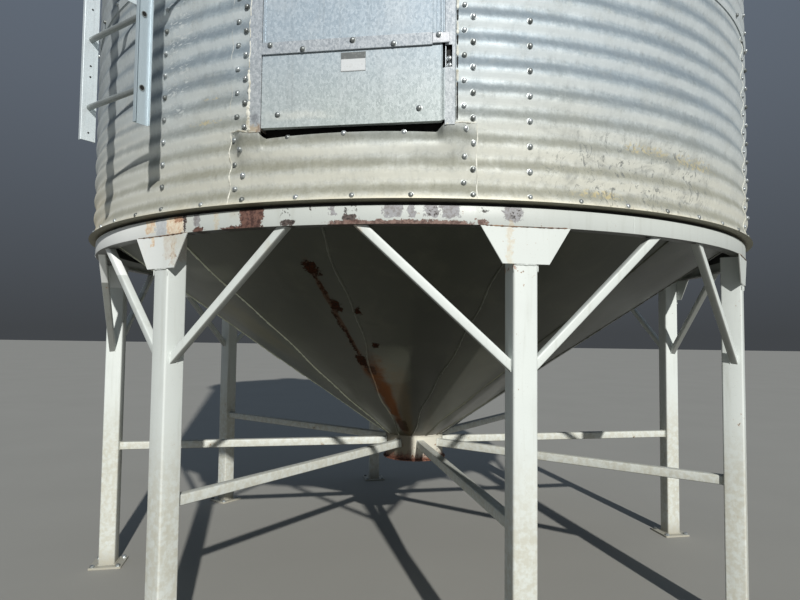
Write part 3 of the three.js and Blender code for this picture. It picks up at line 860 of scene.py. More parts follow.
def foot_radius(z):
    """Radius of the first tier, whose foot is turned outwards."""
    return corrugated(np.maximum(z, FIRST_ROW)) + FOOT_FLARE * smooth((FIRST_ROW + 14 - z) / 30)


def sheet_body(radius, azimuths, z):
    """A sheet from its outer side's radii and heights, azimuth by azimuth."""
    outer, inner = polar(radius, azimuths, z), polar(radius - SHEET, azimuths, z)
    return loft(np.concatenate([outer, inner[:, ::-1]], 1))


def wall_sheet(first, last, bottom, top, lower_offset):
    """A corrugated sheet between two azimuths. Its first edge rises over the sheet before it."""
    z = sheet_heights(bottom, top)
    radius = corrugated(z) + lower_offset * (1 - smooth((z - bottom) / 110))
    if bottom <= WALL_FOOT:
        radius = foot_radius(z)
    count = max(3, round((last - first) / COLUMN_ANGLE * STEPS_PER_COLUMN))
    azimuths = (first + (last - first) * np.linspace(0, 1, count + 1))[:, None]
    rise = SIDE_LAP * smooth(1 - (azimuths - first) / 3.2)
    return sheet_body(radius + rise, azimuths, z)


def seam_columns(tier):
    """Columns with an upright sheet seam: those of the first tier start beside the door."""
    if tier == 1:
        return [-2, 2, 10, 18, 26, 30, 38, 46]
    shift = 6 if tier % 2 == 0 else 2
    return [shift + SHEET_COLUMNS * step for step in range(7)]


def wall_tier(tier):
    """A tier's sheets. In the first tier, the one at the front is cut away around the doorway."""
    bottom = WALL_FOOT if tier == 1 else wall_row(tier) - 30
    top = WALL_TOP if tier == TIERS else wall_row(tier + 1) + 18
    lap = UPPER_LAP if tier > 1 else 0
    columns = seam_columns(tier)
    sheets = []
    for column, following in zip(columns, columns[1:] + [columns[0] + COLUMNS]):
        first, last = column * COLUMN_ANGLE - LAP_ANGLE, following * COLUMN_ANGLE + LAP_ANGLE
        spans = [(first, last, bottom)]
        if tier == 1 and column == -2:
            left, right = np.degrees(np.arcsin([(FRAME_LEFT + 34) / CREST, (FRAME_RIGHT - 32) / CREST]))
            spans = [(first, left, bottom), (right, last, bottom), (left, right, FRAME_TOP - 30)]
        sheets += [wall_sheet(start, end, foot, top, lap) for start, end, foot in spans]
    return sheets


def foot_row(columns):
    """Azimuths of the lowest bolts, a little off the columns at the front."""
    azimuths = (columns + COLUMNS / 2) % COLUMNS * COLUMN_ANGLE - 180
    return azimuths + (0.58 - 0.034 * azimuths) * (1 - smooth((np.abs(azimuths) - 50) / 30))


def wall_bolts(azimuth, z, rise):
    return scatter(WALL_BOLT, polar(corrugated(z) + rise, azimuth, z), polar(1, azimuth, 0))


def tier_bolts(tier):
    """The bolts of a tier's seams, of its bottom row and of the stiffener over each leg."""
    row = wall_row(tier)
    crests = row + PITCH * np.arange(1 if tier > 1 else 0, 11)
    valleys = row + PITCH * (np.arange(11) + 0.5)
    bolts = []
    for column in seam_columns(tier):
        offsets = LEFT_SEAM_BOLTS if tier == 1 and column == -2 else SEAM_BOLTS
        for offset, heights in zip(offsets, (valleys, crests)):
            azimuth = column * COLUMN_ANGLE + offset
            lift = SIDE_LAP
            if tier == 1 and abs(column) == 2:
                on_sill = sill_radius(heights, azimuth) - corrugated(heights)
                lift = np.where(heights < FRAME_BOTTOM, on_sill, SIDE_LAP)
            bolts += wall_bolts(azimuth, heights, lift)
    for leg in range(LEGS):
        shift = {0: RIGHT_SIDE_SHIFT, LEGS - 1: LADDER_SIDE_SHIFT}.get(leg, 0)
        bolts += wall_bolts(FIRST_LEG + leg * LEG_ANGLE + shift, crests, 0)
    columns = np.arange(COLUMNS)
    if tier == 1:
        taken = [column % COLUMNS for column in seam_columns(tier)] + [3 + 7 * leg for leg in range(LEGS)]
        columns = np.setdiff1d(columns, taken)
        near_door = (columns <= 2) | (columns >= COLUMNS - 2)
        bolts += wall_bolts(foot_row(columns), row - 4, np.where(near_door, 6.5, 1.5))
    else:
        bolts += wall_bolts(columns * COLUMN_ANGLE, row, UPPER_LAP - 0.6)
    if tier == TIERS:
        bolts += wall_bolts((columns + 0.5) * COLUMN_ANGLE, WALL_TOP - PITCH / 2, 0)
    return bolts


def build_wall():
    beads = []
    for tier in range(1, TIERS + 1):
        nodes = [f"wall_tier_{tier}"] + ["door_head_sheet"] * (tier == 1)
        piece(f"wall_sheets_{tier}", wall_tier(tier), WALL_FINISH, "galvanised_sheet", *nodes)
        bolt_piece(f"wall_bolts_{tier}", tier_bolts(tier), "galvanised_sheet")
        for column in seam_columns(tier):
            low = FRAME_BOTTOM if tier == 1 and abs(column) == 2 else wall_row(tier) + 6
            z = np.arange(low, wall_row(tier) + TIER - 32, 9.0)
            azimuth = column * COLUMN_ANGLE - LAP_ANGLE - 0.02 + 0.03 * np.sin(z / 37)
            beads.append(bead(polar(corrugated(z) + 0.4, azimuth, z), 1.4, 100 * tier + column, 0.45))
    piece("wall_seam_caulk", beads, CAULK_FINISH, "galvanised_sheet")


def sill_top(azimuths):
    """Height of the sheet's top edge: let down under the door, rising aslant at the right."""
    x = (CREST + 6) * np.sin(np.radians(azimuths))
    inside = np.where(x < 0, smooth((x - OPENING_LEFT) / 4 + 0.5), 1 - smooth((x - 345) / 27))
    corner = np.clip((np.abs(azimuths) - 11) / 2.9, 0, 1)
    return FRAME_BOTTOM + (SILL_TOP - FRAME_BOTTOM) * inside + 26 * corner


def sill_radius(z, azimuths):
    """The sheet under the door: over the wall's corrugation, its top edge brought out to the door."""
    wave = foot_radius(z) + 3.4
    x = CREST * np.sin(np.radians(azimuths))
    middle = 16 * np.clip(1 - (x / 370)**2, 0, 1) * smooth((z - (FRAME_BOTTOM - 46)) / 34)
    plane = np.clip((DOOR_FACE - 1.5) / np.cos(np.radians(azimuths)) - wave, 0, SILL_REACH)
    plane *= smooth((azimuths - SILL_LEFT_ANGLE) / 2.6) * smooth((SILL_RIGHT_ANGLE - azimuths) / 2.4)
    rise = np.clip((z - (FRAME_BOTTOM - 180)) / 178, 0, 1)**1.5
    opening = smooth((x - OPENING_LEFT) / 8) * smooth((OPENING_RIGHT - 4 - x) / 34)
    let_in = opening * smooth((z - (FRAME_BOTTOM - 76)) / 54)
    return wave + middle + plane * rise * (1 - let_in)


def build_sill():
    levels = sheet_heights(WALL_FOOT - 2, FRAME_BOTTOM)
    corners = OPENING_LEFT + np.array([-3, 0, 3, 6, 9, 702, 711, 720, 729])
    notch = np.degrees(np.arcsin(corners / (CREST + 6)))
    azimuths = np.linspace(SILL_LEFT_ANGLE, SILL_RIGHT_ANGLE, 61)
    azimuths = np.unique(np.concatenate([azimuths, notch]))[:, None]
    upper = np.clip((levels - SILL_BEND) / (FRAME_BOTTOM - SILL_BEND), 0, 1)
    z = levels + upper * (sill_top(azimuths) - FRAME_BOTTOM)
    sheet = sheet_body(sill_radius(z, azimuths), azimuths, z)
    piece("sill_corrugated_sheet", [sheet], WALL_FINISH, "galvanised_sheet", "sill_sheet")
    across, height = np.array([-1, 0, 1]) * COLUMN_ANGLE + SILL_BOLT_SHIFT, SILL_TOP - 3
    places = polar(sill_radius(height, across) - 7.5, across, height)
    bolt_piece("sill_bolts", scatter(WALL_BOLT, places, polar(1, across, 0)), "galvanised_sheet")
    beads = []
    for seed, azimuth in ((6, SILL_LEFT_ANGLE), (8, SILL_RIGHT_ANGLE)):
        heights = np.arange(WALL_FOOT, float(sill_top(np.array(azimuth))), 8.0)
        wander = azimuth + 0.06 * np.sin(heights / 31 + seed) + 0.04 * np.sin(heights / 13)
        beads.append(bead(polar(sill_radius(heights, azimuth) - 1, wander, heights), 2.6, seed, 0.5))
    for seed, first, last in ((10, SILL_LEFT_ANGLE, notch[0]), (12, notch[-1], SILL_RIGHT_ANGLE)):
        across = np.arange(first, last, 0.3)
        top = sill_top(across)
        beads.append(bead(polar(sill_radius(top, across) - 1, across, top + 1.0), 3.2, seed, 0.4))
    piece("sill_caulk", beads, CAULK_FINISH, "galvanised_sheet")


def build_drip_edge():
    edge = ring_body([
        (NECK_RADIUS + 0.3, LIP_BOTTOM), (CREST - 4, LIP_BOTTOM), (LIP_RADIUS - 4, LIP_BOTTOM + 2.4),
        (LIP_RADIUS - 1, LIP_BOTTOM + 3), (LIP_RADIUS, LIP_BOTTOM + 4), (LIP_RADIUS - 1.5, LIP_BOTTOM + 5.2),
        (CREST + 9, WALL_FOOT - 0.3), (NECK_RADIUS + 0.3, WALL_FOOT - 0.3),
    ])
    piece("drip_edge_strip", [edge], WALL_FINISH, "galvanised_sheet", "drip_edge")


# Door.

def behind(left, right, near, far, bottom, top, ease=1.0):
    """A box that lies from near to far behind the door's face."""
    return block(left, right, near - DOOR_FACE, far - DOOR_FACE, bottom, top, ease)


def door_frame():
    """The strips around the doorway, their returns into the wall and the head over it."""
    bodies = [strip(*sides, DOOR_FACE, chamfer=chamfer) for *sides, chamfer in (
        (FRAME_LEFT, OPENING_LEFT, STRIP_FOOT, FRAME_TOP, 0.8),
        (OPENING_RIGHT, FRAME_RIGHT, STRIP_FOOT, LATCH_BOTTOM, 0.4),
        (OPENING_RIGHT, FRAME_RIGHT, LATCH_TOP, FRAME_TOP, 0.4),
        (LATCH_EDGE, FRAME_RIGHT, LATCH_BOTTOM, LATCH_TOP, 0.4),
        (OPENING_LEFT, OPENING_RIGHT, FRAME_TOP - 40, FRAME_TOP, 0.8),
    )]
    for left, depth in ((FRAME_LEFT, 70), (OPENING_LEFT - DOOR_SHEET, 76), (OPENING_RIGHT, 76),
                        (FRAME_RIGHT - DOOR_SHEET, 70)):
        bodies.append(behind(left, left + DOOR_SHEET, 2.5, depth, FRAME_BOTTOM + 8, FRAME_TOP, 0.8))
    head = behind(FRAME_LEFT + 4, FRAME_RIGHT - 4, DOOR_SHEET, 70, FRAME_TOP - DOOR_SHEET, FRAME_TOP)
    return bodies + [head]


def right_beads(x, rise, size, wobble, spans):
    """Beads on the wall beside the door's right strip, between pairs of heights."""
    beads = []
    for low, high in spans:
        z = np.arange(low, high, 6.0)
        y = -np.sqrt((corrugated(z) + rise)**2 - x**2)
        beads.append(bead(xyz(x, y, z), size, low, wobble))
    return beads


def door_recess():
    """Dark backs painted as the shade in the latch hole, in the gap under the door and in the slits beside
    it.
    """
    left, right = OPENING_LEFT + 1, OPENING_RIGHT - 1
    backs = [
        behind(OPENING_RIGHT - 8, FRAME_RIGHT - 6, 20, 24, LATCH_BOTTOM - 12, LATCH_TOP + 12),
        behind(left, right, 62, 70, SILL_BEND, 2440), behind(left, right, 28, 32, 2392, FRAME_TOP - 44),
    ]
    slits = ((2771, 2822), (2673, 2720), (2579, 2634), (2373, 2532))
    return backs + right_beads(FRAME_RIGHT + 4.5, 1.5, 3.4, 0.2, slits)


def door_caulk():
    """Caulk over the left strip's edge, and short beads at the right."""
    beads = []
    for low, high, size in ((FRAME_BOTTOM, 2470, 7.0), (2470, 2600, 5.0), (2600, FRAME_TOP, 2.4)):
        z = np.arange(low, high + 1, 7.0)
        x = FRAME_LEFT + 3.5 - 2 * np.sin(z / 29) - 1.5 * np.sin(z / 11)
        beads.append(bead(xyz(x, 1.5 - DOOR_FACE, z), size, 41 + low, 0.4))
    spans = ((2634, 2673), (2720, 2771), (2532, 2579), (2822, 3110))
    return beads + right_beads(FRAME_RIGHT + 4.0, 2, 4.6, 0.35, spans)


def door_wedge():
    """Sheet that fills the gap between the left strip and the wall."""
    z = np.arange(FRAME_BOTTOM, FRAME_TOP, STEP_HEIGHT)
    inner, outer = FRAME_LEFT + 2, FRAME_LEFT - 15
    corners = [xyz(inner, 1 - DOOR_FACE, z)]
    for x, rise in ((outer, 1), (outer, -3), (inner, -3)):
        corners.append(xyz(x, -np.sqrt((corrugated(z) + rise)**2 - x**2), z))
    return loft(np.stack(corners, 1))


def build_door():
    right, foot, latch = PANEL_RIGHT, PANEL_BOTTOM, LATCH_BOTTOM - 3
    lower_panel = [
        strip(PANEL_LEFT, right, foot, RAIL_BOTTOM + 6, PANEL_FACE),
        behind(PANEL_LEFT + 1, right - 1, -2, PANEL_RETURN, foot, foot + DOOR_SHEET),
        strip(right - 3, right + 1, foot + 1, RAIL_BOTTOM - 2, PANEL_FACE + 3, 22),
        strip(right + 2, right + 6, foot + 4, latch, DOOR_FACE - 1.5, 5, 0.4),
        strip(right + 6.5, right + 11, foot + 4, latch, PANEL_FACE + 1, 8, 0.6),
    ]
    cross_rail = [
        strip(PANEL_LEFT, RAIL_END, RAIL_BOTTOM, RAIL_TOP, RAIL_FACE, 4, 1.2),
        strip(RAIL_END, 400, RAIL_BOTTOM + 4, RAIL_TOP - 5, RAIL_FACE + 2, 5, 1.5),
        behind(PANEL_LEFT, RAIL_END, -11, 0, RAIL_TOP - 3, RAIL_TOP),
    ]
    low, high = RAIL_TOP + 1, PANEL_TOP - 8
    ridges = ((PANEL_LEFT + 8, 3, 2), (336, 2, 2), (350, 1.5, 1.5), (365, 2.5, 3.5))
    upper_panel = [
        strip(PANEL_LEFT, right - 4, RAIL_TOP - 8, PANEL_TOP, PANEL_FACE),
        strip(368, 375.5, low, high, DOOR_FACE - 1, 5, 0.4), strip(376, 381, low, high, PANEL_FACE, 6, 0.6),
    ] + [strip(x - half, x + half, low, high, PANEL_FACE + proud, 4, 0.9) for x, half, proud in ridges]
    for name, bodies, finish, *nodes in (
        ("door_frame_channels", door_frame(), STRIP_FINISH, "door_frame"),
        ("door_dark_recess", door_recess(), SHADE_FILL_FINISH),
        ("door_lower_panel", lower_panel, PANEL_FINISH, "door_lower_board"),
        ("door_cross_rail", cross_rail, STRIP_FINISH, "door_rail"),
        ("door_upper_panel", upper_panel, PANEL_FINISH, "door_upper_board"),
        ("door_caulk", door_caulk(), CAULK_FINISH),
    ):
        piece(name, bodies, finish, "galvanised_door", *nodes)
    piece("door_side_wedge", [door_wedge()], WALL_FINISH, "galvanised_sheet")

    rail, left, right, head = RAIL_FACE - DOOR_FACE, FRAME_LEFT + 24, FRAME_RIGHT - 18, FRAME_TOP - 20
    x, proud, z = np.transpose([
        (-317, rail, 2685), (-182, rail, 2661), (20, rail, 2685), (183, rail, 2661), (359, rail + 2, 2684),
        (-283, 3, 2405), (284, 3, 2405), (398, -20, 2602), (399, -20, 2575), (left, 0, 2930), (left, 0, 3070),
        (right, 0, 2930), (right, 0, 3070), (-280, 0, head), (0, 0, head), (280, 0, head),
    ])
    bolt_piece("door_bolts", scatter(WALL_BOLT, xyz(x, -DOOR_FACE - proud, z), (0, -1, 0)), "galvanised_door")
    plate = strip(-28, 72, 2564, 2641, PANEL_FACE + 2, chamfer=0.6)
    piece("door_blank_plate", [plate], blank_label(), "galvanised_door")


# Ladder.

def ladder_section(foot):
    """Two channel rails with their brackets to the wall, and the upper section with its splices."""
    top = foot + SECTION_HEIGHT - 0.3
    half, wall = RAIL_DEPTH / 2, RAIL_SHEET
    outline = [(0, 1.5 - half), (1.5, -half), (RAIL_FLANGE, -half), (RAIL_FLANGE, wall - half),
               (wall + 1, wall - half), (wall, wall - half + 1)]
    x, y = np.transpose(outline + [(x, -y) for x, y in outline[::-1]])
    rails = [loft([xyz(side * (RAIL_INSIDE + x), LADDER_Y + y, z) for z in (foot, top)]) for side in SIDES]
    for z in BRACKET_HEIGHTS:
        if foot < z < top:
            rails += pair(RAIL_INSIDE + 0.5, RAIL_INSIDE + 5, LADDER_Y, BRACKET_FOOT, z - 15, z + 15)
            rails += pair(RAIL_INSIDE, RAIL_INSIDE + 38, BRACKET_FOOT - 5, BRACKET_FOOT - 1, z - 15, z + 15)
    if foot > LADDER_BOTTOM:
        rails += pair(RAIL_INSIDE - 4, RAIL_INSIDE, LADDER_Y - 24, LADDER_Y + 24, foot - 90, foot + 90)
    return carried(rails, LADDER_AZIMUTH)


def ladder_rung(z):
    outer, inner = circle(12.6, 16), circle(10, 16)
    ends = ((-RUNG_REACH, inner), (-RUNG_REACH, outer), (RUNG_REACH, outer), (RUNG_REACH, inner))
    return loft([xyz(x, LADDER_Y + loop[:, 0], z + loop[:, 1]) for x, loop in ends], ring=True)


def build_ladder():
    holes, bolts = [], []
    for number in (1, 2):
        foot = LADDER_BOTTOM + (number - 1) * SECTION_HEIGHT
        rungs = foot + FIRST_RUNG + RUNG_SPACING * np.arange(RUNGS)
        piece(f"ladder_channels_{number}", ladder_section(foot), LADDER_FINISH, "galvanised_ladder",
              f"ladder_section_{number}")
        tubes = carried([ladder_rung(z) for z in rungs], LADDER_AZIMUTH)
        piece(f"ladder_rungs_{number}", tubes, RUNG_FINISH, "galvanised_ladder")
        heights = [*(rungs[:-1] + 137), *(rungs[:-1] + 186), rungs[-1] + 110, rungs[0] - 113]
        holes += scatter(RAIL_HOLE, xyz(-RAIL_INSIDE, LADDER_Y, heights), (1, 0, 0))
        for side in SIDES:
            holes += scatter(RUNG_HOLE, xyz(side * (RUNG_REACH - 1.5), LADDER_Y, rungs), (side, 0, 0))
    splices = LADDER_BOTTOM + SECTION_HEIGHT + np.array([-60, -25, 25, 60])
    for side in SIDES:
        for x, y, heights, normal in (
            (RAIL_INSIDE + 22, BRACKET_FOOT - 5, BRACKET_HEIGHTS, (0, -1, 0)),
            (RAIL_INSIDE + 5, LADDER_Y, BRACKET_HEIGHTS, (side, 0, 0)),
            (RAIL_INSIDE - 4, LADDER_Y, splices, (-side, 0, 0)),
        ):
            bolts += scatter(WALL_BOLT, xyz(side * x, y, heights), normal)
    # Dark discs painted as the shade in the rail's holes and the rungs' open ends.
    piece("ladder_holes", carried(holes, LADDER_AZIMUTH), SHADE_FILL_FINISH, "galvanised_ladder")
    bolt_piece("ladder_bolts", carried(bolts, LADDER_AZIMUTH), "galvanised_ladder")


# Ring and cone.

def build_ring():
    outer, inner, low, high = RING_RADIUS, NECK_RADIUS - 6, RING_BOTTOM, RING_TOP
    band = ring_body([
        (outer - 55, low), (outer - 2, low), (outer - 0.6, low + 0.6), (outer, low + 2), (outer, high - 2),
        (outer - 0.6, high - 0.6), (outer - 2, high), (NECK_RADIUS, high), (NECK_RADIUS, LIP_BOTTOM - 0.3),
        (NECK_RADIUS, NECK_TOP), (inner, NECK_TOP), (inner, low + 8), (outer - 55, low + 8),
    ])
    piece("ring_band", [band], RING_FINISH, "white_paint", "support_ring")
    joints = [polar(outer, 33 + 90 * joint, np.array([low + 1, high - 2])) for joint in range(4)]
    welds = [weld(*ends, 2.6, seed, step=6) for seed, ends in enumerate(joints)]
    piece("ring_welds", welds, LEG_FINISH, "white_paint")
    reach = math.degrees(GUSSET_TOP / 2 / RING_RADIUS)
    spread = np.linspace(-reach, reach, 44)
    radius = np.minimum(LEG_FACE / np.cos(np.radians(spread)) + GUSSET_SHEET - 1, outer - 1)
    paths = [polar(radius, FIRST_LEG + leg * LEG_ANGLE + spread, low - 0.5) for leg in range(LEGS)]
    welds = [bead(path, 3.0, 50 + leg, 0.5) for leg, path in enumerate(paths)]
    piece("gusset_welds", welds, WELD_FINISH, "white_paint")


def cone_fade(radius, at_top, at_foot):
    """1 on the cone and 0 at its two edges, over these lengths."""
    return smooth((CONE_TOP_RADIUS - radius) / at_top) * smooth((radius - CONE_FOOT_RADIUS) / at_foot)


def cone_surface(radius, azimuth):
    """The underside's points: gores a little flat, with shallow dents of rolling and welding."""
    dents = (np.sin(radius / 172 + azimuth / 7) * np.sin(azimuth / 4.1 - radius / 430)
             + 0.6 * np.sin(radius / 97 - azimuth / 5.3))
    beside_middle = np.radians((azimuth - FIRST_GORE_SEAM) % GORE_ANGLE - GORE_ANGLE / 2)
    flat = np.cos(beside_middle) - math.cos(math.radians(GORE_ANGLE / 2))
    inward = 0.4 * radius * flat * cone_fade(radius, 260, 260) + 1.6 * dents * cone_fade(radius, 200, 200)
    return polar(radius - inward, azimuth, CONE_FOOT + (radius - CONE_FOOT_RADIUS) * CONE_SLOPE)


def build_cone():
    steps = GORES * 16
    radii = np.linspace(CONE_FOOT_RADIUS, CONE_TOP_RADIUS, 44)
    under = cone_surface(radii, FIRST_GORE_SEAM + np.arange(steps)[:, None] * 360 / steps)
    over = under[:, ::-1] + [0, 0, CONE_SHEET * math.hypot(1, CONE_SLOPE)]
    gores = loft(np.concatenate([under, over], 1), ring=True)
    piece("cone_gores", [gores], CONE_FINISH, "hopper_paint", "hopper_cone", sharp=50)
    radius = np.linspace(CONE_FOOT_RADIUS + 4, CONE_TOP_RADIUS - 4, 150)
    welds = []
    for gore in range(GORES):
        off = 14 * np.sin(radius / 150 + gore) + 5 * np.sin(radius / 58 + 2 * gore)
        off = off * cone_fade(radius, 120, 200) - SEAM_DRIFT * smooth((1550 - radius) / 700)
        azimuth = FIRST_GORE_SEAM + gore * GORE_ANGLE + np.degrees(off / radius)
        welds.append(bead(cone_surface(radius, azimuth), 5.4, 200 + gore, 0.4))
    piece("cone_welds", welds, CONE_WELD_FINISH, "hopper_paint")


def build_collar():
    inner, outer, low, high = COLLAR_RADIUS - 6, COLLAR_RADIUS, COLLAR_BOTTOM, COLLAR_TOP
    tube = ring_body([(inner, low), (outer, low), (outer, high), (inner, high)], COLLAR_STEPS)
    joint = bead(polar(outer + 1.5, np.linspace(0, 360, 100), CONE_FOOT - 1), 4.5, 3, 0.35)
    piece("collar_tube", [tube, joint], COLLAR_FINISH, "hopper_paint", "discharge_collar")
    rim, low, high = FLANGE_RADIUS, FLANGE_BOTTOM, FLANGE_TOP
    flange = ring_body([(inner, low), (rim - 1.5, low), (rim, low + 1.5), (rim, high - 1.5),
                        (rim - 1.5, high), (inner, high)], COLLAR_STEPS)
    piece("collar_flange", [flange], COLLAR_FINISH, "hopper_paint", "discharge_flange")


# Legs, braces and struts.

def leg_bodies(seed):
    """A leg with its gusset, its foot plate and their welds, at the front."""
    section = rounded(LEG_SIZE, LEG_SIZE, 9, 5)
    half_top, half_foot = GUSSET_TOP / 2, GUSSET_FOOT / 2
    gusset = [(-half_foot, GUSSET_LOW), (half_foot, GUSSET_LOW), (half_top, LEG_TOP), (-half_top, LEG_TOP)]
    bodies = [
        bar((0, -LEG_RADIUS, FOOT_SHEET), (0, -LEG_RADIUS, LEG_TOP), section),
        slab(gusset, LEG_FACE + GUSSET_SHEET - 1, GUSSET_SHEET, 1.2),
    ]
    for side in SIDES:
        x, y = side * (LEG_SIZE / 2 - 1), -LEG_FACE - 0.5
        bodies.append(weld((x, y, GUSSET_LOW - 3), (x, y, GUSSET_LOW - 30), 2.6, seed + side))
    x, y, z = LEG_SIZE / 2 - 6, -LEG_FACE - 1.5, GUSSET_LOW - 1
    bodies.append(weld((-x, y, z), (x, y, z), 3.4, seed + 2, 0.35))
    x, y = rounded(FOOT_SIZE, FOOT_SIZE, 8).T
    levels = ((0, 1), (FOOT_SHEET - 1.5, 1), (FOOT_SHEET, 1 - 3 / FOOT_SIZE))
    bodies.append(loft([xyz(x * scale, y * scale - LEG_RADIUS, z) for z, scale in levels]))
    x, y = closed_square(LEG_SIZE + 5, 10, 5)
    bodies.append(bead(xyz(x, y - LEG_RADIUS, FOOT_SHEET + 1.5), 4.2, seed + 3))
    return bodies


def brace_bodies(side, seed):
    """A brace from the leg's side up to the ring, with two welds at its foot."""
    x, y = side * (LEG_SIZE / 2 + 0.3), -LEG_RADIUS - 8
    end = polar(BRACE_TOP_RADIUS, side * BRACE_SPREAD, LEG_TOP)
    section = rounded(BRACE_SIZE, BRACE_SIZE, 7, 5)
    bodies = [bar((x, y, BRACE_FOOT), end, section, (1, 0, 0), (0, 0, 1))]
    rise = BRACE_SIZE / 2 / math.cos(math.atan2(LEG_TOP - BRACE_FOOT, abs(end[0] - x)))
    for edge in SIDES:
        ends = [(x + side * 1.5, y + edge * 18, z) for z in (BRACE_FOOT - rise, BRACE_FOOT + rise)]
        bodies.append(weld(*ends, 2.6, seed + edge, 0.35))
    return bodies


def strut_bodies(seed):
    """A strut from the leg to the collar, with a weld round each end."""
    outer, inner = 0.3 + LEG_SIZE / 2 - LEG_RADIUS, -COLLAR_RADIUS - 0.3
    section = rounded(STRUT_SIZE, STRUT_SIZE, 6)
    bodies = [bar((0, outer, STRUT_HEIGHT), (0, inner, STRUT_HEIGHT), section)]
    x, z = closed_square(STRUT_SIZE + 3, 6, 4)
    for y in (outer + 1.5, -COLLAR_RADIUS - 2):
        bodies.append(bead(xyz(x, y, STRUT_HEIGHT + z), 3, seed, 0.35))
    return bodies


def build_legs():
    anchors = []
    for number in range(1, LEGS + 1):
        azimuth = FIRST_LEG + (number - 1) * LEG_ANGLE
        for name, bodies, node in (
            (f"leg_post_{number}", leg_bodies(300 + 10 * number), f"leg_{number}"),
            (f"brace_tube_{number}_left", brace_bodies(-1, 399 + 10 * number), f"brace_{number}_left"),
            (f"brace_tube_{number}_right", brace_bodies(1, 401 + 10 * number), f"brace_{number}_right"),
            (f"strut_tube_{number}", strut_bodies(500 + number), f"radial_strut_{number}"),
        ):
            piece(name, carried(bodies, azimuth), LEG_FINISH, "white_paint", node)
        corners = [(x * FOOT_BOLT_REACH, y * FOOT_BOLT_REACH - LEG_RADIUS, FOOT_SHEET)
                   for x in SIDES for y in SIDES]
        anchors.append(turned(corners, azimuth))
    bolt_piece("foot_bolts", scatter(HEX_BOLT, np.concatenate(anchors), (0, 0, 1)), "white_paint", sharp=40)


# Roof.

def roof_height(radius):
    return WALL_TOP + 0.3 + (CREST - radius) * ROOF_SLOPE


def build_roof():
    radii = np.linspace(FILL_RADIUS, EAVE_RADIUS, 26)
    edge = np.degrees(RIB_HALF / radii)
    rib_end = smooth((EAVE_RADIUS - 16 - radii) / 18)
    profile = ((-RIB_HALF, 0), (-12, 0.86), (-9, 1), (9, 1), (12, 0.86), (RIB_HALF, 0))
    lines = [(np.degrees(offset / radii), rise * RIB_RISE * rib_end) for offset, rise in profile]
    for share in (0.2, 0.4, 0.6, 0.8):
        lines.append((edge + share * (RIB_ANGLE - 2 * edge), -2.5 * math.sin(math.pi * share)))
    sections = []
    for rib in range(ROOF_RIBS):
        for offset, rise in lines:
            azimuth = rib * RIB_ANGLE + offset
            outer = polar(radii, azimuth, roof_height(radii) + ROOF_THICKNESS + rise)
            sections.append(np.concatenate([outer, polar(radii, azimuth, roof_height(radii))[::-1]]))
    roof = loft(sections, ring=True)
    piece("roof_ribbed_sheets", [roof], ROOF_FINISH, "galvanised_sheet", "roof_sheets")
    eave, low = EAVE_RADIUS, roof_height(EAVE_RADIUS)
    lip = ring_body([(eave - 5, low + 1), (eave - 1.5, low - 14), (eave + 1, low - 14), (eave + 1, low + 4),
                     (eave - 3, low + 6)])
    piece("roof_eave_lip", [lip], ROOF_FINISH, "galvanised_sheet")
    bolts = []
    radii = np.array([EAVE_RADIUS - 70, 1760, 1340, 920, 500])
    for rib in range(ROOF_RIBS):
        azimuth = rib * RIB_ANGLE
        places = polar(radii, azimuth, roof_height(radii) + ROOF_THICKNESS + RIB_RISE - 0.5)
        upward = polar(math.sin(ROOF_ANGLE), azimuth, math.cos(ROOF_ANGLE))
        bolts += scatter(WALL_BOLT, places, upward)
    bolt_piece("roof_bolts", bolts, "galvanised_sheet")

    foot = roof_height(FILL_RADIUS) + ROOF_THICKNESS
    neck, rim = FILL_RADIUS, CAP_RADIUS
    outlines = (
        [(0.5, 4), (neck - 2, 4), (neck, 6), (neck, 101), (rim - 4, 101), (rim, 104), (rim, 136),
         (rim - 5, 142), (rim - 40, 152), (120, 196), (0.5, 209.5)],
        [(neck - 1, 1), (neck + 26, -12), (neck + 26, -8), (neck + 2, 12), (neck - 1, 12)],
    )
    cap = [ring_body([(radius, foot + z) for radius, z in outline], COLLAR_STEPS) for outline in outlines]
    piece("roof_lid", cap, ROOF_FINISH, "galvanised_sheet", "roof_cap")


# Floor, light and camera.

SUN_AZIMUTH = 22.5
SUN_ELEVATION = 27
FLOOR_REACH = 60


def build_stage():
    mesh = bpy.data.meshes.new("floor")
    corners = [(-1, -1), (1, -1), (1, 1), (-1, 1)]
    mesh.from_pydata([(x * FLOOR_REACH, y * FLOOR_REACH, -MM) for x, y in corners], [], [(0, 1, 2, 3)])
    f = Finish("pale_floor")
    f.colour = f.mix(f.noise(0.8, 3), (150, 149, 143), (158, 157, 151))
    mesh.materials.append(f.surface(0.9))
    linked("floor", mesh)


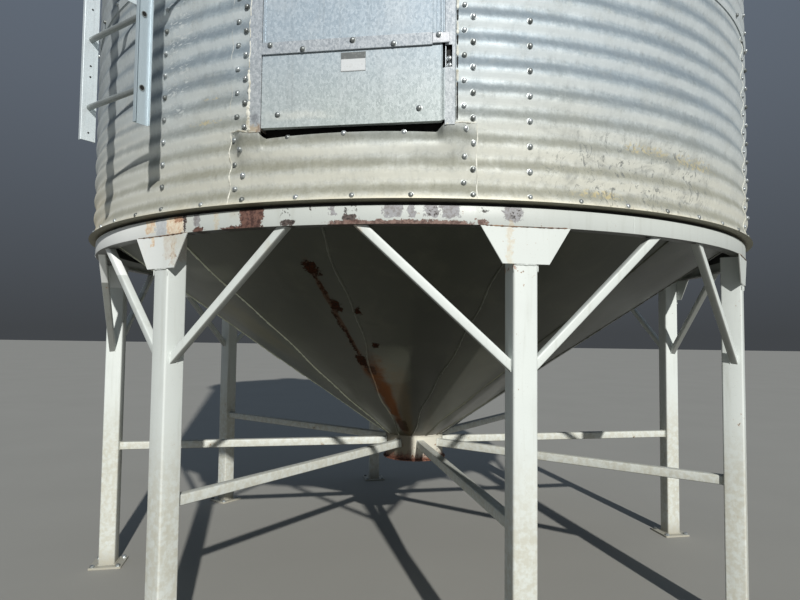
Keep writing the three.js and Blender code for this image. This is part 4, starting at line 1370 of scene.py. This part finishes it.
def build_light():
    sun = bpy.data.lights.new("key_light", "SUN")
    sun.energy = 3.9
    sun.angle = math.radians(1.0)
    sun.color = (1.0, 0.98, 0.94)
    elevation = math.radians(SUN_ELEVATION)
    towards = Vector(polar(math.cos(elevation), SUN_AZIMUTH, math.sin(elevation)))
    linked("key_light", sun).rotation_euler = towards.to_track_quat("Z", "Y").to_euler()

    world = bpy.data.worlds.new("studio")
    world.use_nodes = True
    bpy.context.scene.world = world
    nodes, link = world.node_tree.nodes, world.node_tree.links.new
    place, parts, ramp = (nodes.new(f"ShaderNode{kind}") for kind in ("TexCoord", "SeparateXYZ", "ValToRGB"))
    link(place.outputs["Generated"], parts.inputs[0])
    link(parts.outputs[2], ramp.inputs[0])
    link(ramp.outputs[0], nodes["Background"].inputs[0])
    stops = ramp.color_ramp.elements
    stops[0].color = (0.055, 0.06, 0.066, 1)
    stops[1].color = (0.17, 0.22, 0.29, 1)
    stops.new(0.35).color = (0.11, 0.13, 0.16, 1)
    bpy.context.scene.view_settings.view_transform = "Standard"


# The camera that the photograph was fitted with.
FOCAL_PIXELS = 605
IMAGE_WIDTH = 800
SENSOR = 36
CAMERA_DISTANCE = 4437
CAMERA_HEIGHT = 1550
CAMERA_AZIMUTH = 7.38
CAMERA_YAW = -1.475
CAMERA_PITCH = 2.94
CAMERA_ROLL = 0.62


def build_camera():
    data = bpy.data.cameras.new("camera")
    data.sensor_width = SENSOR
    data.lens = FOCAL_PIXELS * SENSOR / IMAGE_WIDTH
    data.clip_start = 0.05
    data.clip_end = 200
    camera = linked("camera", data)
    stand = Matrix.Translation(polar(CAMERA_DISTANCE, CAMERA_AZIMUTH, CAMERA_HEIGHT) * MM)
    for degrees, axis in ((CAMERA_AZIMUTH - CAMERA_YAW, "Z"), (90 + CAMERA_PITCH, "X"), (CAMERA_ROLL, "Z")):
        stand = stand @ Matrix.Rotation(math.radians(degrees), 4, axis)
    camera.matrix_world = stand
    bpy.context.scene.camera = camera


for build in (build_wall, build_sill, build_drip_edge, build_door, build_ladder, build_ring, build_cone,
              build_collar, build_legs, build_roof, build_stage, build_light, build_camera):
    build()
